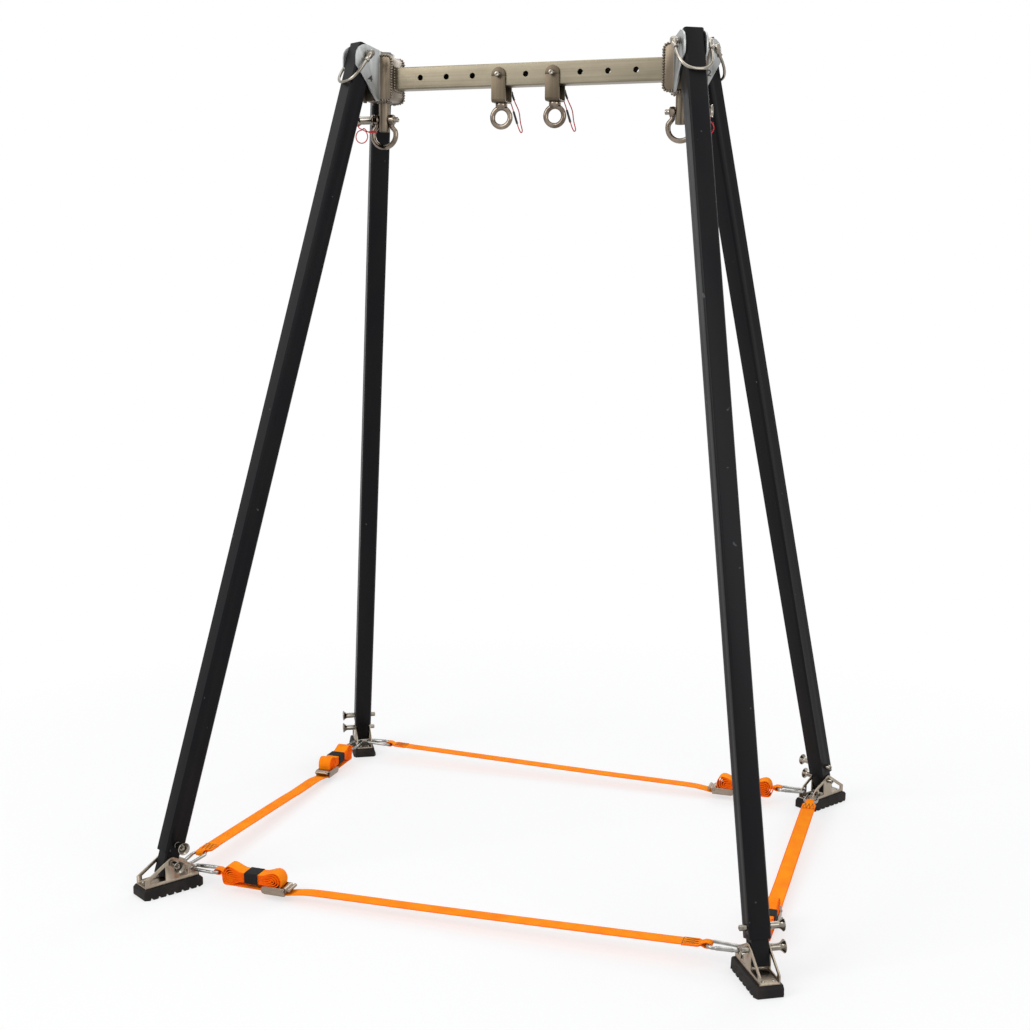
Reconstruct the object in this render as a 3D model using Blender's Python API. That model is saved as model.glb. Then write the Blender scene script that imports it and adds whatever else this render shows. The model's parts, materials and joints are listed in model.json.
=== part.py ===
"""Rescue quadpod: a crossbar between two heads, four telescopic legs, hinged feet and four straps.

Metres, +Z up. The origin is on the ground under the middle of the crossbar, which runs along X.
Every corner has the same frame: x points out along the splay of its leg, y points to the side
where the pins have their handles, and z is up. Every strap has a frame too: x runs along the
strap from its buckle end to its sewn end.
"""

import math

import bmesh
import bpy
from mathutils import Matrix, Vector

# Fits
CLEARANCE = 0.0003
PIN_FIT = 0.00035
SLIDE_FIT = 0.0005
SEAM = 0.0002
PIN_SIDES = 8

# Crossbar
BAR_HALF_LENGTH = 0.3184
BAR_TALL = 0.050
BAR_DEEP = 0.040
BAR_WALL = 0.003
BAR_CORNER = 0.003
BAR_HOLE = 0.013
BAR_HOLE_PITCH = 0.0634
BAR_HOLES_EACH_WAY = 4
BAR_BELOW_PIVOT = 0.049

# Leg layout
PIVOT_BEYOND_BAR = 0.0651
PIVOT_FROM_MIDDLE = 0.0598
SPLAY = math.radians(59.3)
TILT = math.radians(16.86)
PIVOT_TO_FOOT = 1.877

# Head
HEAD_FRONT_DEEP = 0.0436
HEAD_FRONT_HALF = 0.0375
HEAD_DOWN = 0.099
HEAD_UP = 0.001
HEAD_CORNER = 0.012
STAR_PLATE = 0.004
STAR_OUTER = 0.032
STAR_INNER = 0.032
STAR_TOP = 0.0215
STAR_INNER_TOP = 0.011
STAR_NOSE = 0.0275
STAR_SHOULDER = 0.026
STAR_TIP = 0.102
STAR_TIP_WIDE = 0.007
STEM_FROM_BAR = 0.0336
STEM_WIDE = 0.0254
STEM_BORE = 0.0174
STEM_DOWN = 0.166
STEM_BORE_DEEP = 0.062

# Legs
LEG_SIDE = 0.045
LEG_WALL = 0.004
LEG_CORNER = 0.004
LEG_ABOVE_PIVOT = 0.021
LEG_SHORT_OF_FOOT = 0.020
LEG_CAP = 0.003
LEG_IN_HEAD_FIT = 0.0007
INNER_WALL = 0.003
INNER_CORNER = 0.003
INNER_PAST_FOOT = 0.032
INNER_LENGTH = 0.500
LOCK_ABOVE_FOOT = 0.042
LOCK_PITCH = 0.050
LOCK_HOLES = 7
LOCK_HOLE_SIDES = 6

# Ball lock pins
PIN_WIDE = 0.012
PIN_NOSE = 0.014
PIN_NOSE_TAPER = 0.0015
HANDLE_BARREL = 0.0145
HANDLE_LONG = 0.0335
HANDLE_FLARE = 0.012
HANDLE_MOUTH = 0.028
HANDLE_RIM = 0.0015
HANDLE_CUP_DEEP = 0.010
HANDLE_CUP_FLOOR = 0.012
BUTTON_WIDE = 0.007
BUTTON_TALL = 0.006

# Bail pins at the leg pivots
BAIL_PIN_WIDE = 0.014
BAIL_PIN_PAST_PLATE = 0.020
BAIL_WIRE = 0.006
BAIL_HALF = 0.040
BAIL_LONG = 0.080
BAIL_SLEEVE_WIDE = 0.013
BAIL_SLEEVE_LONG = 0.022
BAIL_SLEEVE_BACK = 0.0065
BAIL_BEND = 2.5
BAIL_STEPS = 8

# Shackles and their pins
SHACKLE_PIN_WIDE = 0.012
SHACKLE_PIN_ABOVE_STEM_END = 0.027
SHACKLE_STOCK = 0.012
SHACKLE_WIDE = 0.069
SHACKLE_LONG = 0.068
SHACKLE_EAR_WIDE = 0.024
SHACKLE_EAR_THICK = 0.012
SHACKLE_NECK = 0.0155
SHACKLE_STEPS = 10
SHACKLE_NOSE = 0.011
SHACKLE_COLLAR_WIDE = 0.026
SHACKLE_COLLAR_THICK = 0.004
SHACKLE_BARREL = 0.0187
SHACKLE_HANDLE_LONG = 0.040

# Hangers
HANGER_HOLES = {"left": -1, "right": 1}
HANGER_WIDE = 0.0334
HANGER_PLATE = 0.003
HANGER_FIT = 0.001
HANGER_DOWN = 0.060
HANGER_NOSE = 0.011
EYE_COLLAR_WIDE = 0.027
EYE_COLLAR_TALL = 0.009
EYE_RING_WIDE = 0.054
EYE_STOCK = 0.012
EYE_BELOW_PIN = 0.0915
EYE_STEPS = 14
BOLT_HEAD_WIDE = 0.019
BOLT_HEAD_TALL = 0.008
EYELET_WIDE = 0.005
EYELET_ACROSS = 0.0105
EYELET_DOWN = 0.048

# Feet
PAD_LONG = 0.145
PAD_WIDE = 0.064
PAD_TALL = 0.024
PAD_CHAMFER = 0.006
PAD_LUGS = 8
PAD_GROOVE_WIDE = 0.005
PAD_GROOVE_DEEP = 0.004
BRACKET_PLATE = 0.003
BRACKET_LONG = 0.132
BRACKET_PIN_ABOVE_BASE = 0.0417
BRACKET_NOSE = 0.013
BRACKET_OUTER_EDGE = 0.018
BRACKET_INNER_EDGE = 0.012
BRACKET_BEND_BACK = 0.050
BRACKET_BEND_DOWN = 0.014
WINDOW_EDGE = 0.010
WINDOW_NEAR = 0.017
WINDOW_FAR = 0.054
WINDOW_BACK_NEAR = 0.016
WINDOW_BACK_FAR = 0.036

# Snap hooks between the feet and the straps
HOOK_HOLE = 0.012
HOOK_HOLE_BACK = 0.048
HOOK_HOLE_DOWN = 0.026
HOOK_STOCK = 0.008
HOOK_SMALL_RADIUS = 0.011
HOOK_LARGE_RADIUS = 0.015
HOOK_CENTRES = 0.046
HOOK_STEPS = 5

# Webbing, measured from the ground or from the middle of the near hook's small end
WEB_WIDE = 0.035
WEB_THICK = 0.002
LOOP_WIDE = 0.019
LOOP_TAIL = 0.006
SEWN_INSET = 0.0004
LOOP_ROOM = 0.0010
TAPER_LONG = 0.030
SEWN_LONG = 0.100
SHORT_WEB_HEIGHT = 0.0205
RUN_LOW = 0.0235
RUN_LOW_AT = 0.290
HANK_MIDDLE = 0.1468
HANK_HALF = 0.0723
HANK_TURNS = 4.5
HANK_PITCH = 0.00254
HANK_END_PITCH = 0.0038
HANK_LOOP_POINTS = 18
HANK_WAIST_HALF = 0.0115
HANK_WAIST_SPAN = 0.29
HANK_FLARE_LEFT = 4.2
HANK_FLARE_RIGHT_TOP = 3.3
HANK_FLARE_RIGHT_BOTTOM = 2.2
TIE_LONG = 0.042
TIE_THICK = 0.0015
TIE_SIDE_ROOM = 0.0005

# Cam buckle
FRAME_START = 0.172
FRAME_END = 0.230
FRAME_BOTTOM = 0.013
FRAME_TALL = 0.018
FRAME_PLATE = 0.002
FRAME_SIDE_ROOM = 0.001
FRAME_FLOOR_START = 0.188
FRAME_BAR = 0.005
FRAME_BAR_AT = 0.179
CAM_AT = 0.226
CAM_ABOVE_FLOOR = 0.010
CAM_PIN = 0.005
LEVER_LONG = 0.0185
LEVER_RISE = 0.003
LEVER_THICK = 0.0025
LEVER_ROLLER = 0.008

# Lanyards
LANYARD = 0.0025
LANYARD_RING = 0.0155
LANYARD_RING_DOWN = 0.036
LANYARD_RING_OUT = 0.058
LANYARD_RING_STEPS = 8
SLEEVE_WIDE = 0.0055

# Sizes that follow from those above
FOOT_PIN_HEIGHT = PAD_TALL + CLEARANCE + BRACKET_PLATE + BRACKET_PIN_ABOVE_BASE
PIVOT_HEIGHT = FOOT_PIN_HEIGHT + PIVOT_TO_FOOT * math.cos(TILT)
PIVOT_X = BAR_HALF_LENGTH + PIVOT_BEYOND_BAR
STAR_FACE = LEG_SIDE / 2 + LEG_IN_HEAD_FIT
STAR_BACK = STAR_FACE + STAR_PLATE
INNER_SIDE = LEG_SIDE - 2 * LEG_WALL - 2 * SLIDE_FIT
BRACKET_FACE = INNER_SIDE / 2 + SLIDE_FIT
BRACKET_BACK = BRACKET_FACE + BRACKET_PLATE
BRACKET_BASE_TOP = -BRACKET_PIN_ABOVE_BASE
HANGER_FACE = BAR_DEEP / 2 + HANGER_FIT
HANGER_BACK = HANGER_FACE + HANGER_PLATE
HOOK_BACK = HOOK_HOLE_BACK + (HOOK_HOLE - HOOK_STOCK) / 2 - CLEARANCE + HOOK_SMALL_RADIUS
HOOK_SIDE = (BRACKET_FACE + BRACKET_BACK) / 2
HOOK_HEIGHT = FOOT_PIN_HEIGHT - HOOK_HOLE_DOWN
SHACKLE_PIN_HEIGHT = PIVOT_HEIGHT - STEM_DOWN + SHACKLE_PIN_ABOVE_STEM_END
EAR_NEAR = STEM_WIDE / 2 + CLEARANCE
EAR_FAR = EAR_NEAR + SHACKLE_EAR_THICK

CORNERS = {
    "front_left": math.pi + SPLAY,
    "front_right": -SPLAY,
    "back_right": SPLAY,
    "back_left": math.pi - SPLAY,
}
STRAPS = {
    "front": ("front_left", "front_right", 0.0),
    "right": ("front_right", "back_right", math.pi / 2),
    "back": ("back_right", "back_left", math.pi),
    "left": ("back_left", "front_left", -math.pi / 2),
}


# Materials


def material(name, colour, roughness, metallic=0.0):
    """A Principled material with this base colour, roughness and metallic value."""
    made = bpy.data.materials.new(name)
    made.use_nodes = True
    shader = made.node_tree.nodes["Principled BSDF"]
    shader.inputs["Base Color"].default_value = (*colour, 1.0)
    shader.inputs["Roughness"].default_value = roughness
    shader.inputs["Metallic"].default_value = metallic
    made.diffuse_color = (*colour, 1.0)
    return made


def all_materials():
    """Every material of the quadpod, by the name of what it is used on."""
    return {
        "leg": material("black_anodised", (0.012, 0.015, 0.022), 0.42, 0.3),
        "inner_leg": material("inner_black_anodised", (0.014, 0.015, 0.018), 0.40, 0.3),
        "bar": material("brushed_stainless", (0.60, 0.55, 0.45), 0.38, 1.0),
        "head": material("satin_stainless", (0.58, 0.57, 0.54), 0.36, 1.0),
        "hanger": material("bracket_stainless", (0.30, 0.27, 0.22), 0.40, 1.0),
        "pin": material("polished_steel", (0.66, 0.65, 0.62), 0.15, 1.0),
        "bracket": material("foot_stainless", (0.52, 0.49, 0.44), 0.35, 1.0),
        "pad": material("black_rubber", (0.03, 0.027, 0.026), 0.85),
        "webbing": material("orange_webbing", (0.95, 0.22, 0.01), 0.75),
        "hook": material("zinc_plated_steel", (0.62, 0.62, 0.60), 0.22, 1.0),
        "buckle": material("buckle_steel", (0.55, 0.54, 0.51), 0.25, 1.0),
    }


# Outlines and paths


def arc(centre, radius, start, end, steps):
    """Points of an arc from start to end, in degrees."""
    angles = [math.radians(start + (end - start) * step / steps) for step in range(steps + 1)]
    return [(centre[0] + radius * math.cos(a), centre[1] + radius * math.sin(a)) for a in angles]


def square_outline(half_a, half_b, corner):
    """A rectangle about the origin with its corners cut at 45 degrees."""
    a, b = half_a - corner, half_b - corner
    return [
        (half_a, -b),
        (half_a, b),
        (a, half_b),
        (-a, half_b),
        (-half_a, b),
        (-half_a, -b),
        (-a, -half_b),
        (a, -half_b),
    ]


def rectangle(low_x, high_x, half_y):
    """A rectangle that is symmetric in y."""
    return [(low_x, -half_y), (high_x, -half_y), (high_x, half_y), (low_x, half_y)]


def smooth_path(points, steps):
    """A Catmull-Rom curve through the points, with so many steps between each two."""
    padded = [points[0] * 2 - points[1], *points, points[-1] * 2 - points[-2]]
    path = []
    for before, start, end, after in zip(padded, padded[1:], padded[2:], padded[3:]):
        for step in range(steps):
            t = step / steps
            bend = (2 * before - 5 * start + 4 * end - after) * t * t
            twist = (3 * start - before - 3 * end + after) * t * t * t
            path.append((2 * start + (end - before) * t + bend + twist) / 2)
    return [*path, points[-1]]


def offset_path(path, distance):
    """The path moved sideways by a distance, to its left."""
    moved = []
    for index, point in enumerate(path):
        before = path[max(index - 1, 0)]
        after = path[min(index + 1, len(path) - 1)]
        into = (point - before).normalized() if index else (after - point).normalized()
        out = (after - point).normalized() if index < len(path) - 1 else into
        middle = (into + out).normalized()
        normal = Vector((-middle.y, middle.x))
        moved.append(point + normal * distance / max(middle.dot(into), 0.5))
    return moved


# Solids


def on_axis(axis, a, b, along):
    """A point from two cross-section values and one along the axis."""
    if axis == "x":
        return (along, a, b)
    if axis == "y":
        return (a, along, b)
    return (a, b, along)


def finished(shape, smooth=False):
    """A mesh from a bmesh, with its faces pointing out."""
    bmesh.ops.remove_doubles(shape, verts=shape.verts, dist=1e-6)
    bmesh.ops.recalc_face_normals(shape, faces=shape.faces)
    mesh = bpy.data.meshes.new("shape")
    shape.to_mesh(mesh)
    shape.free()
    if smooth:
        mesh.shade_smooth()
        mesh.set_sharp_from_angle(angle=math.radians(40))
    return mesh


def prism(outline, low, high, axis):
    """An outline of (a, b) points extruded along an axis from low to high."""
    shape = bmesh.new()
    face = shape.faces.new([shape.verts.new(on_axis(axis, a, b, low)) for a, b in outline])
    extruded = bmesh.ops.extrude_face_region(shape, geom=[face])
    moved = [item for item in extruded["geom"] if isinstance(item, bmesh.types.BMVert)]
    bmesh.ops.translate(shape, verts=moved, vec=on_axis(axis, 0.0, 0.0, high - low))
    return finished(shape)


def turned(profile, axis, sides=PIN_SIDES):
    """A solid turned about an axis from (radius, distance along the axis) points."""
    shape = bmesh.new()
    rings = []
    for radius, along in profile:
        spots = arc((0.0, 0.0), radius, 0, 360, sides)[:-1]
        rings.append([shape.verts.new(on_axis(axis, a, b, along)) for a, b in spots])
    for near, far in zip(rings, rings[1:]):
        for side in range(sides):
            after = (side + 1) % sides
            shape.faces.new((near[side], near[after], far[after], far[side]))
    shape.faces.new(rings[0])
    shape.faces.new(rings[-1])
    return finished(shape, smooth=True)


def rod(diameter, low, high, axis, sides=PIN_SIDES):
    """A plain round bar."""
    return turned([(diameter / 2, low), (diameter / 2, high)], axis, sides)


def bore(diameter, low, high, axis, sides=PIN_SIDES):
    """A cutter whose flats stand at the bore's true radius."""
    return rod(diameter / math.cos(math.pi / sides), low, high, axis, sides)


def wire(points, diameter, closed=False):
    """A round wire along the points."""
    curve = bpy.data.curves.new("wire", "CURVE")
    curve.dimensions = "3D"
    curve.bevel_depth = diameter / 2
    curve.bevel_resolution = 1
    curve.use_fill_caps = not closed
    spline = curve.splines.new("POLY")
    spline.points.add(len(points) - 1)
    for spot, point in zip(spline.points, points):
        spot.co = (*point, 1.0)
    spline.use_cyclic_u = closed
    holder = bpy.data.objects.new("wire", curve)
    bpy.context.scene.collection.objects.link(holder)
    bpy.context.view_layer.update()
    made = bpy.data.meshes.new_from_object(
        holder.evaluated_get(bpy.context.evaluated_depsgraph_get())
    )
    shape = bmesh.new()
    shape.from_mesh(made)
    bpy.data.objects.remove(holder)
    bpy.data.curves.remove(curve)
    bpy.data.meshes.remove(made)
    return finished(shape, smooth=True)


def moved(mesh, matrix):
    """The same mesh, moved by a matrix."""
    mesh.transform(matrix)
    return mesh


def boolean(base, tools, operation):
    """The base mesh after one exact Boolean with each of the tools."""
    collection = bpy.context.scene.collection
    holder = bpy.data.objects.new("base", base)
    collection.objects.link(holder)
    helpers = []
    for tool in tools:
        helper = bpy.data.objects.new("tool", tool)
        helper.hide_render = True
        helper.display_type = "WIRE"
        collection.objects.link(helper)
        step = holder.modifiers.new("step", "BOOLEAN")
        step.operation = operation
        step.solver = "EXACT"
        step.object = helper
        helpers.append(helper)
    bpy.context.view_layer.update()
    graph = bpy.context.evaluated_depsgraph_get()
    result = bpy.data.meshes.new_from_object(holder.evaluated_get(graph))
    for used in [holder, *helpers]:
        mesh = used.data
        bpy.data.objects.remove(used)
        bpy.data.meshes.remove(mesh)
    result.shade_smooth()
    result.set_sharp_from_angle(angle=math.radians(40))
    return result


def joined(base, *others):
    """One solid from shapes that overlap."""
    return boolean(base, others, "UNION")


def cut(base, *cutters):
    """The base with the cutters taken out."""
    return boolean(base, cutters, "DIFFERENCE")


# Placing


def frame(name, parent=None, location=(0.0, 0.0, 0.0), turn=(0.0, 0.0, 0.0)):
    """An empty that carries pieces."""
    empty = bpy.data.objects.new(name, None)
    empty.empty_display_size = 0.05
    empty.parent = parent
    empty.location = location
    empty.rotation_euler = turn
    bpy.context.scene.collection.objects.link(empty)
    return empty


def piece(name, mesh, finish, parent, location=(0.0, 0.0, 0.0), turn=(0.0, 0.0, 0.0)):
    """A named sub-part with its material, placed in its parent's frame."""
    if not mesh.materials:
        mesh.materials.append(finish)
    made = bpy.data.objects.new(name, mesh)
    made.parent = parent
    made.location = location
    made.rotation_euler = turn
    bpy.context.scene.collection.objects.link(made)
    return made


def corner_matrix(corner):
    """The corner frame at a leg's pivot."""
    azimuth = CORNERS[corner]
    side = 1 if math.cos(azimuth) > 0 else -1
    back = 1 if math.sin(azimuth) > 0 else -1
    spot = Vector((side * PIVOT_X, back * PIVOT_FROM_MIDDLE, PIVOT_HEIGHT))
    return Matrix.Translation(spot) @ Matrix.Rotation(azimuth, 4, "Z")


def foot_offset():
    """The foot pin in the corner frame."""
    return Vector((PIVOT_TO_FOOT * math.sin(TILT), 0.0, -PIVOT_TO_FOOT * math.cos(TILT)))


def hook_spot(corner, side):
    """The middle of a snap hook's small end, in world space."""
    foot = corner_matrix(corner) @ Matrix.Translation(foot_offset())
    return foot @ Vector((-HOOK_BACK, side * HOOK_SIDE, -HOOK_HOLE_DOWN))


# Crossbar and heads


def crossbar_mesh():
    """A rectangular tube with a row of through holes."""
    half = BAR_HALF_LENGTH - CLEARANCE
    tube = prism(square_outline(BAR_DEEP / 2, BAR_TALL / 2, BAR_CORNER), -half, half, "x")
    inside = rectangle(BAR_WALL - BAR_DEEP / 2, BAR_DEEP / 2 - BAR_WALL, BAR_TALL / 2 - BAR_WALL)
    cutters = [prism(inside, -half - BAR_WALL, half + BAR_WALL, "x")]
    for step in range(-BAR_HOLES_EACH_WAY, BAR_HOLES_EACH_WAY + 1):
        hole = bore(BAR_HOLE, -BAR_DEEP, BAR_DEEP, "y")
        cutters.append(moved(hole, Matrix.Translation((step * BAR_HOLE_PITCH, 0.0, 0.0))))
    return cut(tube, *cutters)


def star_outline():
    """The side view of a head plate, about the leg's pivot."""
    nose = (STAR_OUTER - STAR_NOSE, STAR_TOP - STAR_NOSE)
    return [
        (-STAR_INNER, -STAR_TIP),
        (STAR_TIP_WIDE - STAR_INNER, -STAR_TIP),
        (STAR_OUTER, -STAR_SHOULDER),
        *arc(nose, STAR_NOSE, 0, 90, 4),
        (-STAR_INNER, STAR_INNER_TOP),
    ]


def star_plate(side, pivot):
    """A head plate on one side of a leg, in the head's frame."""
    low, high = sorted((side * STAR_FACE, side * STAR_BACK))
    plate = prism(star_outline(), low, high, "y")
    return moved(plate, pivot)


def head_pivot(back):
    """The corner frame of the leg in front (-1) or at the back (1), in the head's frame."""
    spot = Matrix.Translation((PIVOT_BEYOND_BAR, back * PIVOT_FROM_MIDDLE, 0.0))
    return spot @ Matrix.Rotation(back * SPLAY, 4, "Z")


def head_body():
    """The head's block, its four plates and the folds that tie the plates to the block."""
    profile = [
        (HEAD_FRONT_DEEP, HEAD_UP),
        *arc((HEAD_CORNER, HEAD_UP - HEAD_CORNER), HEAD_CORNER, 90, 180, 3),
        *arc((HEAD_CORNER, HEAD_CORNER - HEAD_DOWN), HEAD_CORNER, 180, 270, 3),
        (HEAD_FRONT_DEEP, -HEAD_DOWN),
    ]
    block = prism(profile, -HEAD_FRONT_HALF, HEAD_FRONT_HALF, "y")
    plates = [star_plate(side, head_pivot(back)) for side in (-1, 1) for back in (-1, 1)]
    middle = (STAR_FACE + STAR_BACK) / 2
    bar_edge = head_pivot(1) @ Vector((-STAR_INNER, middle, 0.0))
    far_edge = head_pivot(1) @ Vector((-STAR_INNER, -middle, 0.0))
    web = STAR_PLATE / 2
    fold = rectangle(bar_edge.x - web, bar_edge.x + web, bar_edge.y + web / 2)
    post = rectangle(HEAD_FRONT_DEEP - web, far_edge.x + web, far_edge.y + web)
    folds = [
        prism(fold, web / 2 - STAR_TIP, STAR_INNER_TOP - web / 2, "z"),
        prism(post, web / 2 - HEAD_DOWN, HEAD_UP - web / 2, "z"),
    ]
    return joined(block, *plates, *folds)


def head_mesh():
    """The head past one end of the crossbar, with x away from the bar and z=0 at the pivots."""
    stem_spot = Matrix.Translation((STEM_FROM_BAR, 0.0, 0.0))
    stem = moved(rod(STEM_WIDE, -STEM_DOWN, -HEAD_DOWN + HEAD_CORNER, "z", 12), stem_spot)
    hollow = bore(STEM_BORE, -STEM_DOWN - STEM_WIDE, STEM_BORE_DEEP - STEM_DOWN, "z")
    pin_hole = bore(SHACKLE_PIN_WIDE + 2 * PIN_FIT, -STEM_WIDE, STEM_WIDE, "x")
    pin_height = Matrix.Translation((0.0, 0.0, SHACKLE_PIN_ABOVE_STEM_END - STEM_DOWN))
    cutters = [moved(hollow, stem_spot), moved(pin_hole, stem_spot @ pin_height)]
    reach = STAR_BACK + STAR_PLATE / 2
    for back in (-1, 1):
        pivot_hole = bore(BAIL_PIN_WIDE + 2 * PIN_FIT, -reach, reach, "y")
        cutters.append(moved(pivot_hole, head_pivot(back)))
    return cut(joined(head_body(), stem), *cutters)


# Legs


def leg_mesh():
    """The outer leg: a square tube, closed on top, with a pivot bore and a lock pin bore.

    Its frame is at the pivot, with z running up the leg and x to its outer face.
    """
    top, end = LEG_ABOVE_PIVOT, LEG_SHORT_OF_FOOT - PIVOT_TO_FOOT
    tube = prism(square_outline(LEG_SIDE / 2, LEG_SIDE / 2, LEG_CORNER), end, top, "z")
    room = LEG_SIDE / 2 - LEG_WALL
    hollow = prism(rectangle(-room, room, room), end - LEG_WALL, top - LEG_CAP, "z")
    pivot = bore(BAIL_PIN_WIDE + 2 * PIN_FIT, -LEG_SIDE, LEG_SIDE, "y")
    lock = bore(PIN_WIDE + 2 * PIN_FIT, -LEG_SIDE, LEG_SIDE, "y")
    lock_spot = (0.0, 0.0, LOCK_ABOVE_FOOT - PIVOT_TO_FOOT)
    return cut(tube, hollow, pivot, moved(lock, Matrix.Translation(lock_spot)))


def inner_leg_mesh():
    """The sliding inner leg, with z up the leg and z=0 at the foot pin."""
    half = INNER_SIDE / 2
    top = INNER_LENGTH - INNER_PAST_FOOT
    tube = prism(square_outline(half, half, INNER_CORNER), -INNER_PAST_FOOT, top, "z")
    room = half - INNER_WALL
    cutters = [prism(rectangle(-room, room, room), -INNER_LENGTH, INNER_LENGTH, "z")]
    heights = [0.0, *(LOCK_ABOVE_FOOT + step * LOCK_PITCH for step in range(LOCK_HOLES))]
    for height in heights:
        hole = bore(PIN_WIDE + 2 * PIN_FIT, -INNER_SIDE, INNER_SIDE, "y", LOCK_HOLE_SIDES)
        cutters.append(moved(hole, Matrix.Translation((0.0, 0.0, height))))
    return cut(tube, *cutters)


def handle_profile(start, barrel, length):
    """The trumpet handle of a ball lock pin, from its neck to the button in its mouth."""
    end = start + length
    mouth = HANDLE_MOUTH / 2
    button = BUTTON_WIDE / 2
    return [
        (barrel / 2, start),
        (barrel / 2, end - HANDLE_FLARE),
        (mouth, end - HANDLE_RIM),
        (mouth - HANDLE_RIM, end),
        (HANDLE_CUP_FLOOR / 2, end - HANDLE_CUP_DEEP),
        (button, end - HANDLE_CUP_DEEP),
        (button, end - HANDLE_CUP_DEEP + BUTTON_TALL),
    ]


def ball_lock_pin_mesh(half_grip, nose, axis="y"):
    """A quick-release pin through pieces that reach half_grip each way."""
    neck = half_grip + CLEARANCE
    end = -half_grip - nose
    radius = PIN_WIDE / 2
    profile = [
        (radius - PIN_NOSE_TAPER, end),
        (radius, end + PIN_NOSE_TAPER),
        (radius, neck),
        *handle_profile(neck, HANDLE_BARREL, HANDLE_LONG),
    ]
    return turned(profile, axis)


def bail_rest_angle():
    """How far the bail stands off the leg when its wire lies on the leg's outer face."""
    share = (LEG_SIDE / 2 / BAIL_HALF) ** BAIL_BEND
    reach = BAIL_SLEEVE_LONG + (BAIL_LONG - BAIL_SLEEVE_LONG) * (1 - share) ** (1 / BAIL_BEND)
    return math.asin(((LEG_SIDE + BAIL_WIRE) / 2 + CLEARANCE) / reach)


def bail_pin_mesh():
    """The pivot pin with its wire bail hanging along -z: a shank, two sleeves and a round bow."""
    reach = STAR_BACK + BAIL_PIN_PAST_PLATE
    shank = rod(BAIL_PIN_WIDE, -reach, reach, "y")
    sleeves = []
    for side in (-1, 1):
        sleeve = rod(BAIL_SLEEVE_WIDE, -BAIL_SLEEVE_LONG, BAIL_SLEEVE_BACK, "z", 8)
        sleeves.append(moved(sleeve, Matrix.Translation((0.0, side * BAIL_HALF, 0.0))))
    drop = BAIL_LONG - BAIL_SLEEVE_LONG
    tuck = BAIL_SLEEVE_LONG / 2
    path = [(0.0, BAIL_HALF, -tuck)]
    for step in range(BAIL_STEPS + 1):
        angle = math.pi * step / BAIL_STEPS
        across = math.copysign(abs(math.cos(angle)) ** (2 / BAIL_BEND), math.cos(angle))
        down = abs(math.sin(angle)) ** (2 / BAIL_BEND)
        path.append((0.0, BAIL_HALF * across, -BAIL_SLEEVE_LONG - drop * down))
    path.append((0.0, -BAIL_HALF, -tuck))
    return joined(shank, *sleeves, wire(path, BAIL_WIRE))


# Feet


def bracket_outline():
    """The side view of a foot bracket's cheek, about the foot pin: x out, z up."""
    half = BRACKET_LONG / 2
    floor = BRACKET_BASE_TOP - BRACKET_PLATE
    outer = (half, floor + BRACKET_OUTER_EDGE)
    bend = (-BRACKET_BEND_BACK, -BRACKET_BEND_DOWN)
    outer_slope = tangent_angle(outer)
    inner_slope = tangent_angle((-bend[0], bend[1]))
    return [
        (-half, floor),
        (half, floor),
        outer,
        *arc((0.0, 0.0), BRACKET_NOSE, outer_slope, 180 - inner_slope, 4),
        bend,
        (-half, floor + BRACKET_INNER_EDGE),
    ]


def tangent_angle(spot):
    """Where a line from a spot, on the +x side, touches the bracket's round nose, in degrees."""
    away = math.hypot(*spot)
    return math.degrees(math.atan2(spot[1], spot[0]) + math.acos(BRACKET_NOSE / away))


def window(near, far, side):
    """The cutter of a triangular window in the cheeks."""
    low = BRACKET_BASE_TOP + WINDOW_EDGE / 2
    slope = (BRACKET_PIN_ABOVE_BASE - WINDOW_EDGE) / (far + near)
    top = low + slope * (far - near)
    outline = [(side * near, low), (side * far, low), (side * near, top)]
    return prism(outline, -2 * BRACKET_BACK, 2 * BRACKET_BACK, "y")


def bracket_mesh():
    """A foot bracket: two cheeks with windows and hook holes, folded up from a base plate."""
    cheeks = [
        prism(bracket_outline(), BRACKET_FACE, BRACKET_BACK, "y"),
        prism(bracket_outline(), -BRACKET_BACK, -BRACKET_FACE, "y"),
    ]
    half = BRACKET_LONG / 2
    base = rectangle(-half, half, BRACKET_BACK)
    floor = prism(base, BRACKET_BASE_TOP - BRACKET_PLATE, BRACKET_BASE_TOP, "z")
    solid = joined(floor, *cheeks)
    pin = bore(PIN_WIDE + 2 * PIN_FIT, -2 * BRACKET_BACK, 2 * BRACKET_BACK, "y")
    hook = bore(HOOK_HOLE, -2 * BRACKET_BACK, 2 * BRACKET_BACK, "y", 8)
    hook = moved(hook, Matrix.Translation((-HOOK_HOLE_BACK, 0.0, -HOOK_HOLE_DOWN)))
    windows = [
        window(WINDOW_NEAR, WINDOW_FAR, 1),
        window(WINDOW_BACK_NEAR, WINDOW_BACK_FAR, -1),
    ]
    return cut(solid, pin, hook, *windows)


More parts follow.
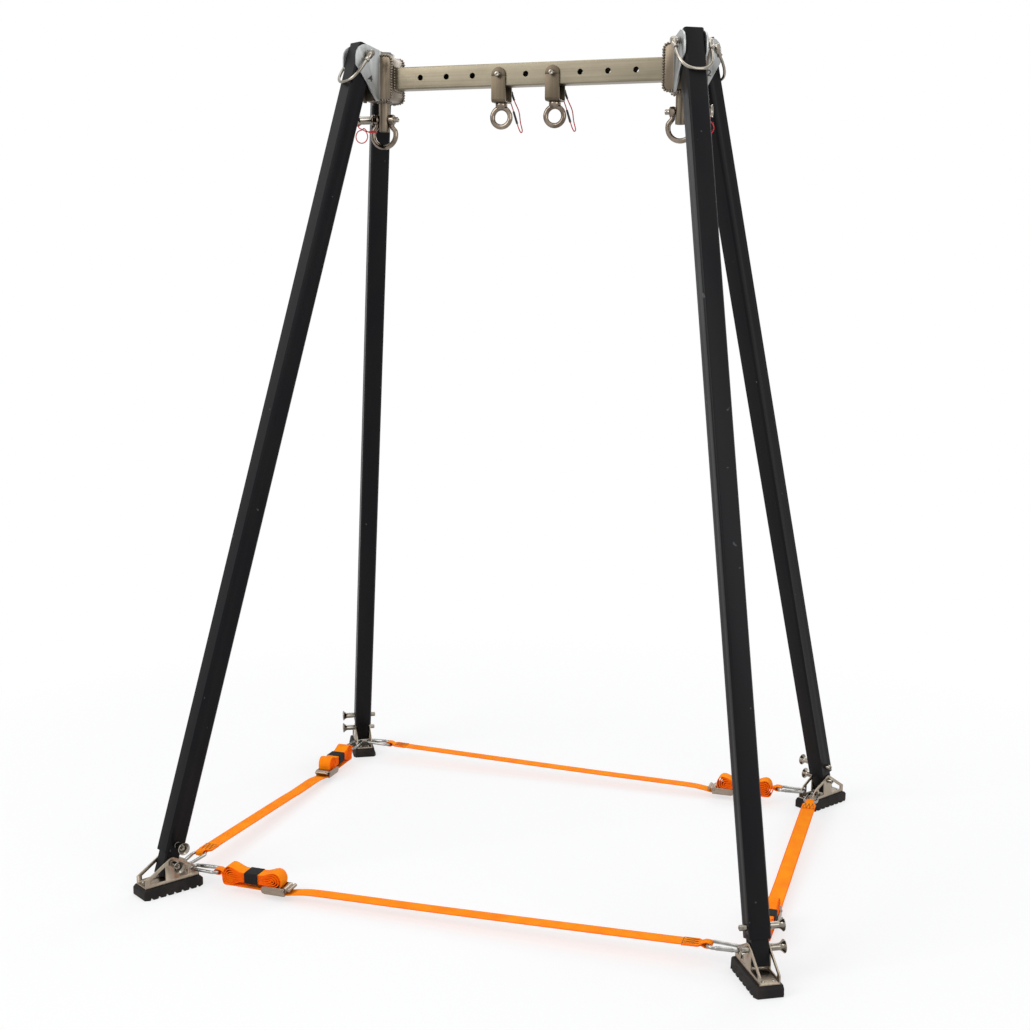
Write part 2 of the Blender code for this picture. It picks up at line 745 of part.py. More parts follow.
def pad_mesh():
    """The rubber sole with cross grooves underneath and a chamfered top, about the foot pin."""
    half = PAD_LONG / 2
    bottom = -FOOT_PIN_HEIGHT
    top = bottom + PAD_TALL
    pitch = (PAD_LONG + PAD_GROOVE_WIDE) / PAD_LUGS
    profile = [
        (half, top - PAD_CHAMFER),
        (half - PAD_CHAMFER, top),
        (PAD_CHAMFER - half, top),
        (-half, top - PAD_CHAMFER),
    ]
    for lug in range(PAD_LUGS):
        start = -half + lug * pitch
        end = start + pitch - PAD_GROOVE_WIDE
        profile += [(start, bottom), (end, bottom)]
        if lug < PAD_LUGS - 1:
            profile += [
                (end, bottom + PAD_GROOVE_DEEP),
                (start + pitch, bottom + PAD_GROOVE_DEEP),
            ]
    block = prism(profile, -PAD_WIDE / 2, PAD_WIDE / 2, "y")
    shape = bmesh.new()
    shape.from_mesh(block)
    edge = PAD_WIDE / 2
    for vert in shape.verts:
        if vert.co.z > top - PAD_CHAMFER / 2:
            vert.co.y = math.copysign(edge - PAD_CHAMFER, vert.co.y)
    bpy.data.meshes.remove(block)
    return finished(shape)


def hook_mesh():
    """A snap hook's closed body: two arcs of unlike radius joined by straight sides, with x to the large end."""
    lean = math.degrees(math.acos((HOOK_SMALL_RADIUS - HOOK_LARGE_RADIUS) / HOOK_CENTRES))
    small = arc((0.0, 0.0), HOOK_SMALL_RADIUS, lean, 360 - lean, HOOK_STEPS)
    large = arc((HOOK_CENTRES, 0.0), HOOK_LARGE_RADIUS, -lean, lean, HOOK_STEPS)
    return wire([(x, y, 0.0) for x, y in small + large], HOOK_STOCK, closed=True)


# Shackles


def shackle_mesh():
    """A bow shackle in the xz plane, with x out along its pin and z=0 at the pin."""
    half = (SHACKLE_WIDE - SHACKLE_STOCK) / 2
    centre = SHACKLE_LONG - SHACKLE_STOCK / 2 - half
    ear_middle = (EAR_NEAR + EAR_FAR) / 2
    neck = [(ear_middle, 0.0, -SHACKLE_EAR_WIDE / 4), (ear_middle, 0.0, -SHACKLE_NECK)]
    bow = [(x, 0.0, z) for x, z in arc((0.0, -centre), half, 16, -196, SHACKLE_STEPS)]
    path = [*neck, *bow, *((-x, y, z) for x, y, z in reversed(neck))]
    ears = []
    for side in (-1, 1):
        low, high = sorted((side * EAR_NEAR, side * EAR_FAR))
        ears.append(rod(SHACKLE_EAR_WIDE, low, high, "x"))
    solid = joined(wire(path, SHACKLE_STOCK), *ears)
    return cut(solid, bore(SHACKLE_PIN_WIDE + 2 * PIN_FIT, -SHACKLE_WIDE, SHACKLE_WIDE, "x"))


def shackle_lanyard():
    """The cord's centre line: out of the handle's mouth, once round in a ring, and on to the bow."""
    rim = EAR_FAR + SHACKLE_COLLAR_THICK + SHACKLE_HANDLE_LONG - HANDLE_FLARE / 2
    step_aside = 2 * LANYARD
    ring = []
    for step in range(LANYARD_RING_STEPS + 1):
        share = step / LANYARD_RING_STEPS
        angle = math.radians(100 + 350 * share)
        ring.append(
            Vector(
                (
                    LANYARD_RING_OUT + LANYARD_RING * math.cos(angle),
                    step_aside * (0.5 - share),
                    -LANYARD_RING_DOWN + LANYARD_RING * math.sin(angle),
                )
            )
        )
    start = [
        Vector((rim, step_aside, 2 * LANYARD - HANDLE_MOUTH / 2)),
        Vector((rim, step_aside, -LANYARD - HANDLE_MOUTH / 2)),
    ]
    tail = [
        Vector((LANYARD_RING_OUT - LANYARD, -1.6 * step_aside, LANYARD_RING / 2 - LANYARD_RING_DOWN + 0.011)),
        Vector((SHACKLE_WIDE / 2 + 5 * LANYARD, -step_aside, -SHACKLE_EAR_WIDE)),
        Vector((SHACKLE_WIDE / 2 + 2 * LANYARD, 0.0, -1.1 * SHACKLE_EAR_WIDE)),
    ]
    return start + ring + smooth_path(tail, 2)


def shackle_pin_mesh():
    """The shackle's pin along x, its trumpet handle at +x, with its lanyard."""
    collar = EAR_FAR + CLEARANCE
    neck = collar + SHACKLE_COLLAR_THICK
    radius = SHACKLE_PIN_WIDE / 2
    profile = [
        (radius - PIN_NOSE_TAPER, -EAR_FAR - SHACKLE_NOSE),
        (radius, -EAR_FAR - SHACKLE_NOSE + PIN_NOSE_TAPER),
        (radius, collar),
        (SHACKLE_COLLAR_WIDE / 2, collar),
        (SHACKLE_COLLAR_WIDE / 2, neck),
        *handle_profile(neck, SHACKLE_BARREL, SHACKLE_HANDLE_LONG),
    ]
    return joined(turned(profile, "x"), wire(shackle_lanyard(), LANYARD))


# Hangers


def hanger_mesh():
    """A folded strap bracket round the crossbar with an eye nut under it, about its pin."""
    half = HANGER_WIDE / 2
    cheek = [*arc((0.0, 0.0), half, 0, 180, 6), (-half, -HANGER_DOWN), (half, -HANGER_DOWN)]
    front = prism(cheek, -HANGER_BACK, -HANGER_FACE, "y")
    back = prism(cheek, HANGER_FACE, HANGER_BACK, "y")
    square = rectangle(-half, half, HANGER_BACK)
    floor = prism(square, -HANGER_DOWN, HANGER_PLATE - HANGER_DOWN, "z")
    collar_end = -HANGER_DOWN - EYE_COLLAR_TALL
    collar = turned(
        [
            (EYE_COLLAR_WIDE / 2 - HANGER_FIT, collar_end),
            (EYE_COLLAR_WIDE / 2, collar_end + HANGER_FIT),
            (EYE_COLLAR_WIDE / 2, SEAM - HANGER_DOWN),
        ],
        "z",
        12,
    )
    bolt_start = HANGER_PLATE - HANGER_DOWN
    bolt = rod(BOLT_HEAD_WIDE, bolt_start - SEAM, bolt_start + BOLT_HEAD_TALL, "z", 6)
    ring_radius = (EYE_RING_WIDE - EYE_STOCK) / 2
    circle = arc((0.0, -EYE_BELOW_PIN), ring_radius, 90, 450, EYE_STEPS)[:-1]
    ring = wire([(x, 0.0, z) for x, z in circle], EYE_STOCK, closed=True)
    solid = joined(floor, front, back, collar, bolt, ring)
    pin = bore(PIN_WIDE + 2 * PIN_FIT, -2 * HANGER_BACK, 2 * HANGER_BACK, "y")
    eyelet = bore(EYELET_WIDE, 0.0, 2 * HANGER_BACK, "y", 6)
    eyelet = moved(eyelet, Matrix.Translation((EYELET_ACROSS, 0.0, -EYELET_DOWN)))
    return cut(solid, pin, eyelet)


def hanger_lanyard():
    """The cord's centre line: from the pin's handle down in a loop and up to the eyelet."""
    behind = HANGER_BACK
    chosen = [
        (0.0040, behind + 0.0240, -0.0050),
        (0.0075, behind + 0.0230, -0.0200),
        (0.0105, behind + 0.0200, -0.0340),
        (0.0180, behind + 0.0165, -0.0520),
        (0.0300, behind + 0.0125, -0.0760),
        (0.0345, behind + 0.0105, -0.1000),
        (0.0395, behind + 0.0090, -0.1180),
        (0.0365, behind + 0.0080, -0.1225),
        (0.0310, behind + 0.0070, -0.1120),
        (0.0225, behind + 0.0060, -0.0860),
        (0.0165, behind + 0.0050, -0.0670),
        (EYELET_ACROSS, behind + LANYARD, -EYELET_DOWN - LANYARD / 2),
    ]
    return [Vector(point) for point in chosen]


def hanger_pin_mesh():
    """The hanger's ball lock pin along y, its handle behind, with its lanyard."""
    pin = ball_lock_pin_mesh(HANGER_BACK, HANGER_NOSE)
    path = hanger_lanyard()
    sleeve_spots = (path[2:5], path[-4:-1])
    sleeves = [wire(spots, SLEEVE_WIDE) for spots in sleeve_spots]
    return joined(pin, wire(path, LANYARD), *sleeves)


# Straps


def hank_flare(side, upper):
    """How far the hank's loops swell past its waist."""
    if side < 0:
        return HANK_FLARE_LEFT
    return HANK_FLARE_RIGHT_TOP if upper else HANK_FLARE_RIGHT_BOTTOM


def hank_shape():
    """The hank's strip in side view, with the waist's middle at height 0."""
    count = round(HANK_TURNS * HANK_LOOP_POINTS)
    path = []
    for step in range(count + 1):
        turn = step / HANK_LOOP_POINTS
        angle = 2 * math.pi * (turn - HANK_TURNS)
        c, s = math.cos(angle), math.sin(angle)
        swell = max(abs(c) - HANK_WAIST_SPAN, 0.0) / (1 - HANK_WAIST_SPAN)
        half = HANK_HALF - HANK_END_PITCH * (HANK_TURNS - turn)
        tall = HANK_WAIST_HALF - HANK_PITCH * (HANK_TURNS - turn)
        tall *= 1 + hank_flare(c, s < 0) * swell * swell
        path.append(Vector((HANK_MIDDLE + half * c, -tall * s)))
    return path


def hank_height():
    """The height of the hank's waist, with its near lobe lying on the short web."""
    lowest = min(point.y for point in hank_shape() if point.x < HANK_MIDDLE)
    return SHORT_WEB_HEIGHT + WEB_THICK - SEAM - lowest


def hank_path():
    """The rolled spare webbing in side view: one unbroken strip that winds outwards.

    Each turn is an oval whose height grows by one pitch a turn. Past the waist under the tie
    band, the turns swell into a lobe at each end.
    """
    lift = Vector((0.0, hank_height()))
    return [point + lift for point in hank_shape()]


def least_gap(path):
    """The least gap between stretches of a strip that aren't neighbours."""
    least = math.inf
    for index, point in enumerate(path):
        for start, end in zip(path[index + 6 :], path[index + 7 :]):
            along = end - start
            share = (point - start).dot(along) / along.length_squared
            nearest = start + along * min(max(share, 0.0), 1.0)
            least = min(least, (point - nearest).length)
    return least - WEB_THICK


def strip(path, taper, wide=WEB_WIDE, thick=WEB_THICK):
    """Webbing along a side-view path, narrowed to fit its hook between the two x of the taper."""
    outline = offset_path(path, thick / 2) + offset_path(path, -thick / 2)[::-1]
    mesh = prism([(p.x, p.y) for p in outline], -wide / 2, wide / 2, "y")
    narrow = LOOP_WIDE - 2 * SEWN_INSET
    full, least = taper
    for vert in mesh.vertices:
        share = min(max((vert.co.x - full) / (least - full), 0.0), 1.0)
        vert.co.y = math.copysign((wide + (narrow - wide) * share) / 2, vert.co.y)
    return mesh


def hook_loop(length, far):
    """The sewn loop round a hook's large end, with its tail towards the strap's middle."""
    reach = HOOK_CENTRES + HOOK_LARGE_RADIUS
    hook_inside = HOOK_LARGE_RADIUS - HOOK_STOCK / 2
    edge = math.sqrt(hook_inside**2 - LOOP_WIDE**2 / 4)
    inner = HOOK_STOCK / 2 + 2 * CLEARANCE
    outer = inner + WEB_THICK
    left = HOOK_CENTRES + edge - LOOP_ROOM + inner
    tail = reach + outer + LOOP_TAIL
    shell = [
        *arc((left, 0.0), outer, 90, 270, 5),
        (reach, -outer),
        (tail - LOOP_TAIL / 2, -WEB_THICK - SEAM),
        (tail, -WEB_THICK - SEAM),
        (tail, WEB_THICK + SEAM),
        (tail - LOOP_TAIL / 2, WEB_THICK + SEAM),
        (reach, outer),
    ]
    eye = [
        *arc((left, 0.0), inner, 90, 270, 5),
        (reach, -inner),
        (reach + inner, -inner / 2),
        (reach + inner, inner / 2),
        (reach, inner),
    ]
    loop = prism([(x, z + HOOK_HEIGHT) for x, z in shell], -LOOP_WIDE / 2, LOOP_WIDE / 2, "y")
    hollow = prism([(x, z + HOOK_HEIGHT) for x, z in eye], -LOOP_WIDE, LOOP_WIDE, "y")
    made = cut(loop, hollow)
    if far:
        made.transform(Matrix.Translation((length, 0.0, 0.0)) @ Matrix.Rotation(math.pi, 4, "Z"))
    return made


def short_web():
    """The short piece from the near hook down to the buckle's bar, in side view."""
    reach = HOOK_CENTRES + HOOK_LARGE_RADIUS + HOOK_STOCK / 2
    low = SHORT_WEB_HEIGHT
    chosen = [
        (reach + 0.0015, HOOK_HEIGHT),
        (reach + 0.0055, HOOK_HEIGHT - 0.0015),
        (reach + 0.0078, HOOK_HEIGHT - 0.0065),
        (reach + 0.0090, HOOK_HEIGHT - 0.0130),
        (reach + 0.0118, HOOK_HEIGHT - 0.0192),
        (reach + 0.0160, low + 0.0008),
        (reach + 0.0200, low),
        (reach + 0.0400, low),
        (reach + 0.0700, low - 0.0005),
        (FRAME_BAR_AT - FRAME_BAR / 2 - CLEARANCE - WEB_THICK / 2, low - 0.0010),
    ]
    return [Vector(point) for point in chosen]


def bar_loop():
    """The short web's loop round the buckle's bar."""
    inner = FRAME_BAR / 2 + CLEARANCE
    centre = (FRAME_BAR_AT, FRAME_BOTTOM + FRAME_PLATE + FRAME_BAR)
    half = WEB_WIDE / 2 - 2 * SEWN_INSET
    ring = turned([(inner + WEB_THICK, -half), (inner + WEB_THICK, half)], "y")
    ring = cut(ring, bore(2 * inner, -WEB_WIDE, WEB_WIDE, "y"))
    return moved(ring, Matrix.Translation((centre[0], 0.0, centre[1])))


def long_web(length):
    """The hank, the drop through the buckle and the run to the sewn end, in side view."""
    hank = hank_path()
    end = hank[-1]
    grip = FRAME_BOTTOM + FRAME_PLATE + CLEARANCE + WEB_THICK / 2
    drop = [
        end,
        Vector((end.x - 0.0020, end.y - 0.0110)),
        Vector((end.x - 0.0070, grip + 0.0110)),
        Vector((end.x - 0.0082, grip + 0.0050)),
        Vector((end.x - 0.0040, grip + 0.0010)),
        Vector((CAM_AT - 0.0040, grip)),
        Vector((CAM_AT + 0.0090, grip)),
        Vector((CAM_AT + 0.0220, grip + 0.0025)),
        Vector((RUN_LOW_AT, RUN_LOW)),
    ]
    sewn_end = length - HOOK_CENTRES - HOOK_LARGE_RADIUS - HOOK_STOCK / 2 - WEB_THICK
    run = [
        Vector((RUN_LOW_AT + 0.1, RUN_LOW + 0.002)),
        Vector((length / 2, (RUN_LOW + HOOK_HEIGHT) / 2 - 0.004)),
        Vector((sewn_end - SEWN_LONG, HOOK_HEIGHT - 0.003)),
        Vector((sewn_end - LOOP_TAIL / 2, HOOK_HEIGHT)),
    ]
    if run[1].x < run[0].x:
        run.pop(1)
    path = hank + smooth_path(drop, 2)[1:] + smooth_path(run, 2)
    return path, sewn_end


def tie_band():
    """The band round the hank's waist, which holds its outermost layers."""
    layer = WEB_THICK / 2 - SEAM
    top = HANK_WAIST_HALF - HANK_PITCH / 4 + layer
    bottom = HANK_WAIST_HALF - HANK_PITCH * 3 / 4 + layer
    half = (top + bottom) / 2
    wide = WEB_WIDE / 2 + TIE_SIDE_ROOM
    shell = square_outline(wide + TIE_THICK, half + TIE_THICK, TIE_THICK)
    hole = rectangle(-wide, wide, half)
    low, high = HANK_MIDDLE - TIE_LONG / 2, HANK_MIDDLE + TIE_LONG / 2
    band = cut(prism(shell, low, high, "x"), prism(hole, low - half, high + half, "x"))
    return moved(band, Matrix.Translation((0.0, 0.0, hank_height() + (top - bottom) / 2)))


def strap_mesh(length):
    """One strap between two feet, with z up from the ground."""
    path, sewn_end = long_web(length)
    near_end = HOOK_CENTRES + HOOK_LARGE_RADIUS + HOOK_STOCK / 2
    far_taper = (sewn_end - TAPER_LONG, sewn_end)
    near_taper = (near_end + TAPER_LONG / 2, near_end)
    sewn_points = 1 + sum(1 for point in path if point.x > sewn_end - SEWN_LONG)
    sewn_wide = WEB_WIDE - 2 * SEWN_INSET
    return joined(
        strip(path[:-1], far_taper),
        strip(path[-sewn_points:], far_taper, sewn_wide, 2 * WEB_THICK),
        strip(short_web(), near_taper, sewn_wide),
        hook_loop(length, False),
        hook_loop(length, True),
        bar_loop(),
        tie_band(),
    )


# Buckles


def buckle_frame_mesh():
    """The buckle's frame: two cheeks, a floor and the bar that holds the short web."""
    low = FRAME_BOTTOM
    high = low + FRAME_TALL
    half = FRAME_TALL / 2
    face = WEB_WIDE / 2 + FRAME_SIDE_ROOM
    back = face + FRAME_PLATE
    cheek = [
        (FRAME_END, low),
        (FRAME_END, high),
        *arc((FRAME_START + half, low + half), half, 90, 270, 5),
    ]
    floor = rectangle(FRAME_FLOOR_START, FRAME_END, back)
    bar = rod(FRAME_BAR, -back, back, "y")
    solid = joined(
        prism(floor, low, low + FRAME_PLATE, "z"),
        prism(cheek, face, back, "y"),
        prism(cheek, -back, -face, "y"),
        moved(bar, Matrix.Translation((FRAME_BAR_AT, 0.0, low + FRAME_PLATE + FRAME_BAR))),
    )
    pin = bore(CAM_PIN + 2 * PIN_FIT, -2 * back, 2 * back, "y")
    return cut(solid, moved(pin, Matrix.Translation((CAM_AT, 0.0, cam_height()))))


def cam_height():
    """The height of the cam's pin."""
    return FRAME_BOTTOM + FRAME_PLATE + CAM_ABOVE_FLOOR


def cam_lever_mesh():
    """The toothed cam with its lever and roller, about its pin."""
    half = WEB_WIDE / 2
    back = half + FRAME_SIDE_ROOM + FRAME_PLATE
    web_top = CLEARANCE + WEB_THICK
    radius = CAM_ABOVE_FLOOR - web_top - CLEARANCE
    cam = rod(2 * radius, -half, half, "y", 10)
    pin = rod(CAM_PIN, -back - CAM_PIN / 4, back + CAM_PIN / 4, "y")
    thick = LEVER_THICK / 2
    arm = [
        (0.0, LEVER_RISE - thick),
        (LEVER_LONG, LEVER_RISE - thick),
        (LEVER_LONG, LEVER_RISE + thick),
        (0.0, LEVER_RISE + thick),
    ]
    roller = rod(LEVER_ROLLER, -half, half, "y", 6)
    return joined(
        cam,
        pin,
        prism(arm, -half + SEAM, half - SEAM, "y"),
        moved(roller, Matrix.Translation((LEVER_LONG, 0.0, LEVER_RISE))),
    )


# The whole quadpod


def clear_scene():
    """Remove whatever the scene starts with."""
    for existing in list(bpy.data.objects):
        bpy.data.objects.remove(existing)


def build_top(finish):
    """The crossbar, its two heads, hangers and shackles."""
    bar_height = PIVOT_HEIGHT - BAR_BELOW_PIVOT
    bar = piece("crossbar", crossbar_mesh(), finish["bar"], None, (0.0, 0.0, bar_height))
    head, shackle, shackle_pin = head_mesh(), shackle_mesh(), shackle_pin_mesh()
    for name, turn in (("left", math.pi), ("right", 0.0)):
        out = -1 if name == "left" else 1
        spot = (out * BAR_HALF_LENGTH, 0.0, PIVOT_HEIGHT)
        piece(f"{name}_head", head, finish["head"], None, spot, (0.0, 0.0, turn))
        swing_spot = (out * (BAR_HALF_LENGTH + STEM_FROM_BAR), 0.0, SHACKLE_PIN_HEIGHT)
        swing = frame(f"{name}_shackle_swing", None, swing_spot, (0.0, 0.0, turn))
        piece(f"{name}_shackle", shackle, finish["pin"], swing)
        piece(f"{name}_shackle_pin", shackle_pin, finish["pin"], swing)
    hanger, hanger_pin = hanger_mesh(), hanger_pin_mesh()
    for name, hole in HANGER_HOLES.items():
        hang = frame(f"{name}_hanger_swing", bar, (hole * BAR_HOLE_PITCH, 0.0, 0.0))
        piece(f"{name}_hanger", hanger, finish["hanger"], hang)
        piece(f"{name}_hanger_pin", hanger_pin, finish["pin"], hang)


def build_legs(finish):
    """The four legs with their pins and feet. Returns each foot's frame."""
    leg, inner, bail = leg_mesh(), inner_leg_mesh(), bail_pin_mesh()
    lock = ball_lock_pin_mesh(LEG_SIDE / 2, PIN_NOSE)
    foot_pin = ball_lock_pin_mesh(BRACKET_BACK, PIN_NOSE)
    bracket, pad = bracket_mesh(), pad_mesh()
    feet = {}
    for corner, azimuth in CORNERS.items():
        spot = corner_matrix(corner).translation
        pivot = frame(f"{corner}_pivot", None, spot, (0.0, 0.0, azimuth))
        fold = frame(f"{corner}_fold", pivot, turn=(0.0, -TILT, 0.0))
        piece(f"{corner}_leg", leg, finish["leg"], fold)
        bail_turn = (0.0, -bail_rest_angle(), 0.0)
        piece(f"{corner}_bail_pin", bail, finish["pin"], fold, turn=bail_turn)
        slide = frame(f"{corner}_slide", fold, (0.0, 0.0, -PIVOT_TO_FOOT))
        piece(f"{corner}_inner_leg", inner, finish["inner_leg"], slide)
        lock_spot = (0.0, 0.0, LOCK_ABOVE_FOOT - PIVOT_TO_FOOT)
        piece(f"{corner}_lock_pin", lock, finish["pin"], fold, lock_spot)
        foot = frame(f"{corner}_foot", slide, turn=(0.0, TILT, 0.0))
        piece(f"{corner}_foot_pin", foot_pin, finish["pin"], slide)
        piece(f"{corner}_foot_bracket", bracket, finish["bracket"], foot)
        piece(f"{corner}_foot_pad", pad, finish["pad"], foot)
        feet[corner] = foot
    return feet


def build_straps(finish, feet):
    """The four straps, each with a buckle at its near foot and a hook at both feet."""
    hook, buckle, lever = hook_mesh(), buckle_frame_mesh(), cam_lever_mesh()
    webs = {}
    for name, (near, far, heading) in STRAPS.items():
        length = (hook_spot(far, -1) - hook_spot(near, 1)).length
        key = round(length, 6)
        if key not in webs:
            webs[key] = strap_mesh(length)
            gap = least_gap(long_web(length)[0])
            print(f"{name} strap: {length:.4f} m, least gap in its hank {gap * 1000:.2f} mm")
        near_turn = (0.0, 0.0, heading - CORNERS[near])
        far_turn = (0.0, 0.0, heading + math.pi - CORNERS[far])
        near_spot = (-HOOK_BACK, HOOK_SIDE, -HOOK_HOLE_DOWN)
        far_spot = (-HOOK_BACK, -HOOK_SIDE, -HOOK_HOLE_DOWN)
        start = frame(f"{name}_strap_start", feet[near], near_spot, near_turn)
        end = frame(f"{name}_strap_end", feet[far], far_spot, far_turn)
        piece(f"{name}_near_hook", hook, finish["hook"], start)
        piece(f"{name}_far_hook", hook, finish["hook"], end)
        ground = (0.0, 0.0, -HOOK_HEIGHT)
        piece(f"{name}_strap", webs[key], finish["webbing"], start, ground)
        piece(f"{name}_buckle_frame", buckle, finish["buckle"], start, ground)
        lever_spot = (CAM_AT, 0.0, cam_height() - HOOK_HEIGHT)
        piece(f"{name}_cam_lever", lever, finish["buckle"], start, lever_spot)


def main():
    """Build the whole quadpod."""
    clear_scene()
    finish = all_materials()
    build_top(finish)
    feet = build_legs(finish)
    build_straps(finish, feet)


main()
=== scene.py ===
"""The rescue quadpod's fine pieces, finishes, straps and studio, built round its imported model."""

import json
import logging
import math
from dataclasses import dataclass, field
from enum import Enum
from typing import Callable, Mapping, Sequence

import bmesh
import bpy
from mathutils import Matrix, Vector

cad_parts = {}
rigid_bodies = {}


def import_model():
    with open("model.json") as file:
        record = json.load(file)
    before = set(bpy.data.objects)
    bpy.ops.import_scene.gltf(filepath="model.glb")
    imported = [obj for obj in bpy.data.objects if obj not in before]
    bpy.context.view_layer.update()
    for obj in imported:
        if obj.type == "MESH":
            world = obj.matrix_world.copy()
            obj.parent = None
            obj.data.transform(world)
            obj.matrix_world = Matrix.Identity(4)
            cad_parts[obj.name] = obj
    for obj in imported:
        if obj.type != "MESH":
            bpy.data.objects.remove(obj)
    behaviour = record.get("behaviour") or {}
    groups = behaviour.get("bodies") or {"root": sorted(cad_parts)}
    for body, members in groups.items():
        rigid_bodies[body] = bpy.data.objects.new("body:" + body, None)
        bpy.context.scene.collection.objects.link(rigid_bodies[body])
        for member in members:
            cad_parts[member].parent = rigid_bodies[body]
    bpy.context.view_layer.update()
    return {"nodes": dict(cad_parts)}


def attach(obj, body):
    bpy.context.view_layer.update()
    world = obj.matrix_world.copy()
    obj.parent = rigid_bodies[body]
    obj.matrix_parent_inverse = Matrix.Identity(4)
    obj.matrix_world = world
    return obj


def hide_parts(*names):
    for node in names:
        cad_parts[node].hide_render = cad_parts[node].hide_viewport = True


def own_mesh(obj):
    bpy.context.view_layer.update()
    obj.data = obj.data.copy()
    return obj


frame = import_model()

log = logging.getLogger("quadpod")
Point = tuple[float, float]
Spot = Vector | tuple[float, ...]
Rgb = tuple[float, float, float]
Colour = Rgb | bpy.types.NodeSocket

# Places and sizes that the looks share with the model, in metres.
SPLAY = math.radians(59.3)
TILT = math.radians(16.86)
PIVOT_TO_FOOT = 1.877
FOOT_PIN_HEIGHT = 0.0690
PIVOT_X = 0.3835
PIVOT_Y = 0.0598
PIVOT_HEIGHT = FOOT_PIN_HEIGHT + PIVOT_TO_FOOT * math.cos(TILT)
BAR_HALF = 0.3184
BAR_DOWN = 0.049  # from the pivots
BAR_HEIGHT = PIVOT_HEIGHT - BAR_DOWN
HOLE_PITCH = 0.0634
STEM_OUT = 0.0336  # from the bar's end
SHACKLE_DOWN = 0.139  # from the pivots
STAR_BACK = 0.0272
TUBE_HALF = 0.0225
LOCK_UP = 0.042  # from the foot pin, up the leg
BRACKET_BACK = 0.0215
BRACKET_BASE = 0.0417
HOOK_BACK = 0.0607
HOOK_SIDE = 0.0200
HOOK_DOWN = 0.026
HOOK_HEIGHT = FOOT_PIN_HEIGHT - HOOK_DOWN
BUCKLE_FLOOR = 0.0153
CAM_HEIGHT = 0.025
PLAY = 0.0003  # between two pieces that would touch
FOLD_INWARD = math.radians(10)
LEG_TRAVEL = 0.3
FLOOR_BODY = "front_left_foot"  # the floor stays under the feet as the legs fold
CREASE = math.radians(35)  # edges past this angle stay sharp
CENTRE = (0.0, 0.0)


def move(x: float = 0.0, y: float = 0.0, z: float = 0.0) -> Matrix:
    """A shift."""
    return Matrix.Translation((x, y, z))


def spin(angle: float, axis: str = "Z") -> Matrix:
    """A turn about an axis, by an angle in radians."""
    return Matrix.Rotation(angle, 4, axis)


class Corner(Enum):
    """The four legs, each with the direction from +X in which it splays."""

    FRONT_LEFT = ("front_left", math.pi + SPLAY)
    FRONT_RIGHT = ("front_right", -SPLAY)
    BACK_RIGHT = ("back_right", SPLAY)
    BACK_LEFT = ("back_left", math.pi - SPLAY)

    def __init__(self, key: str, azimuth: float) -> None:
        """Name the parts of the value."""
        self.key, self.azimuth = key, azimuth

    def pivot(self) -> Matrix:
        """The corner frame at the leg's pivot: x out, y to the handles, z up."""
        side = math.copysign(PIVOT_X, math.cos(self.azimuth))
        back = math.copysign(PIVOT_Y, math.sin(self.azimuth))
        return move(side, back, PIVOT_HEIGHT) @ spin(self.azimuth)

    def leg(self) -> Matrix:
        """The leg's frame at its pivot, with z up the leg."""
        return self.pivot() @ spin(-TILT, "Y")

    def slide(self) -> Matrix:
        """The inner leg's frame at the foot pin, with z up the leg."""
        return self.leg() @ move(z=-PIVOT_TO_FOOT)

    def foot(self) -> Matrix:
        """The foot's level frame at its pin."""
        return self.slide() @ spin(TILT, "Y")

    def hook(self, side: int) -> Vector:
        """The middle of a snap hook's small end on the cheek at this side."""
        return self.foot() @ Vector((-HOOK_BACK, side * HOOK_SIDE, -HOOK_DOWN))


class Side(Enum):
    """The four straps: buckle corner, sewn corner and heading."""

    FRONT = ("front", Corner.FRONT_LEFT, Corner.FRONT_RIGHT, 0.0)
    RIGHT = ("right", Corner.FRONT_RIGHT, Corner.BACK_RIGHT, math.pi / 2)
    BACK = ("back", Corner.BACK_RIGHT, Corner.BACK_LEFT, math.pi)
    LEFT = ("left", Corner.BACK_LEFT, Corner.FRONT_LEFT, -math.pi / 2)

    def __init__(self, key: str, near: Corner, far: Corner, heading: float) -> None:
        """Name the parts of the value."""
        self.key, self.near, self.far, self.heading = key, near, far, heading

    def length(self) -> float:
        """From one hook's small end to the other's."""
        return (self.far.hook(-1) - self.near.hook(1)).length

    def start(self) -> Matrix:
        """The strap's frame at its near hook: x along the strap, z up."""
        return move(*self.near.hook(1)) @ spin(self.heading)

    def end(self) -> Matrix:
        """The same at its far hook, with x back along the strap."""
        return move(*self.far.hook(-1)) @ spin(self.heading + math.pi)

    def ground(self) -> Matrix:
        """The strap's frame with z from the ground."""
        return self.start() @ move(z=-HOOK_HEIGHT)


class Axis(Enum):
    """The axis that a shape is turned about or extruded along."""

    X = "x"
    Y = "y"
    Z = "z"

    def at(self, a: float, b: float, along: float) -> Vector:
        """A point from two cross-section values and one along the axis."""
        if self is Axis.X:
            return Vector((along, a, b))
        return Vector((a, along, b)) if self is Axis.Y else Vector((a, b, along))


# Shapes


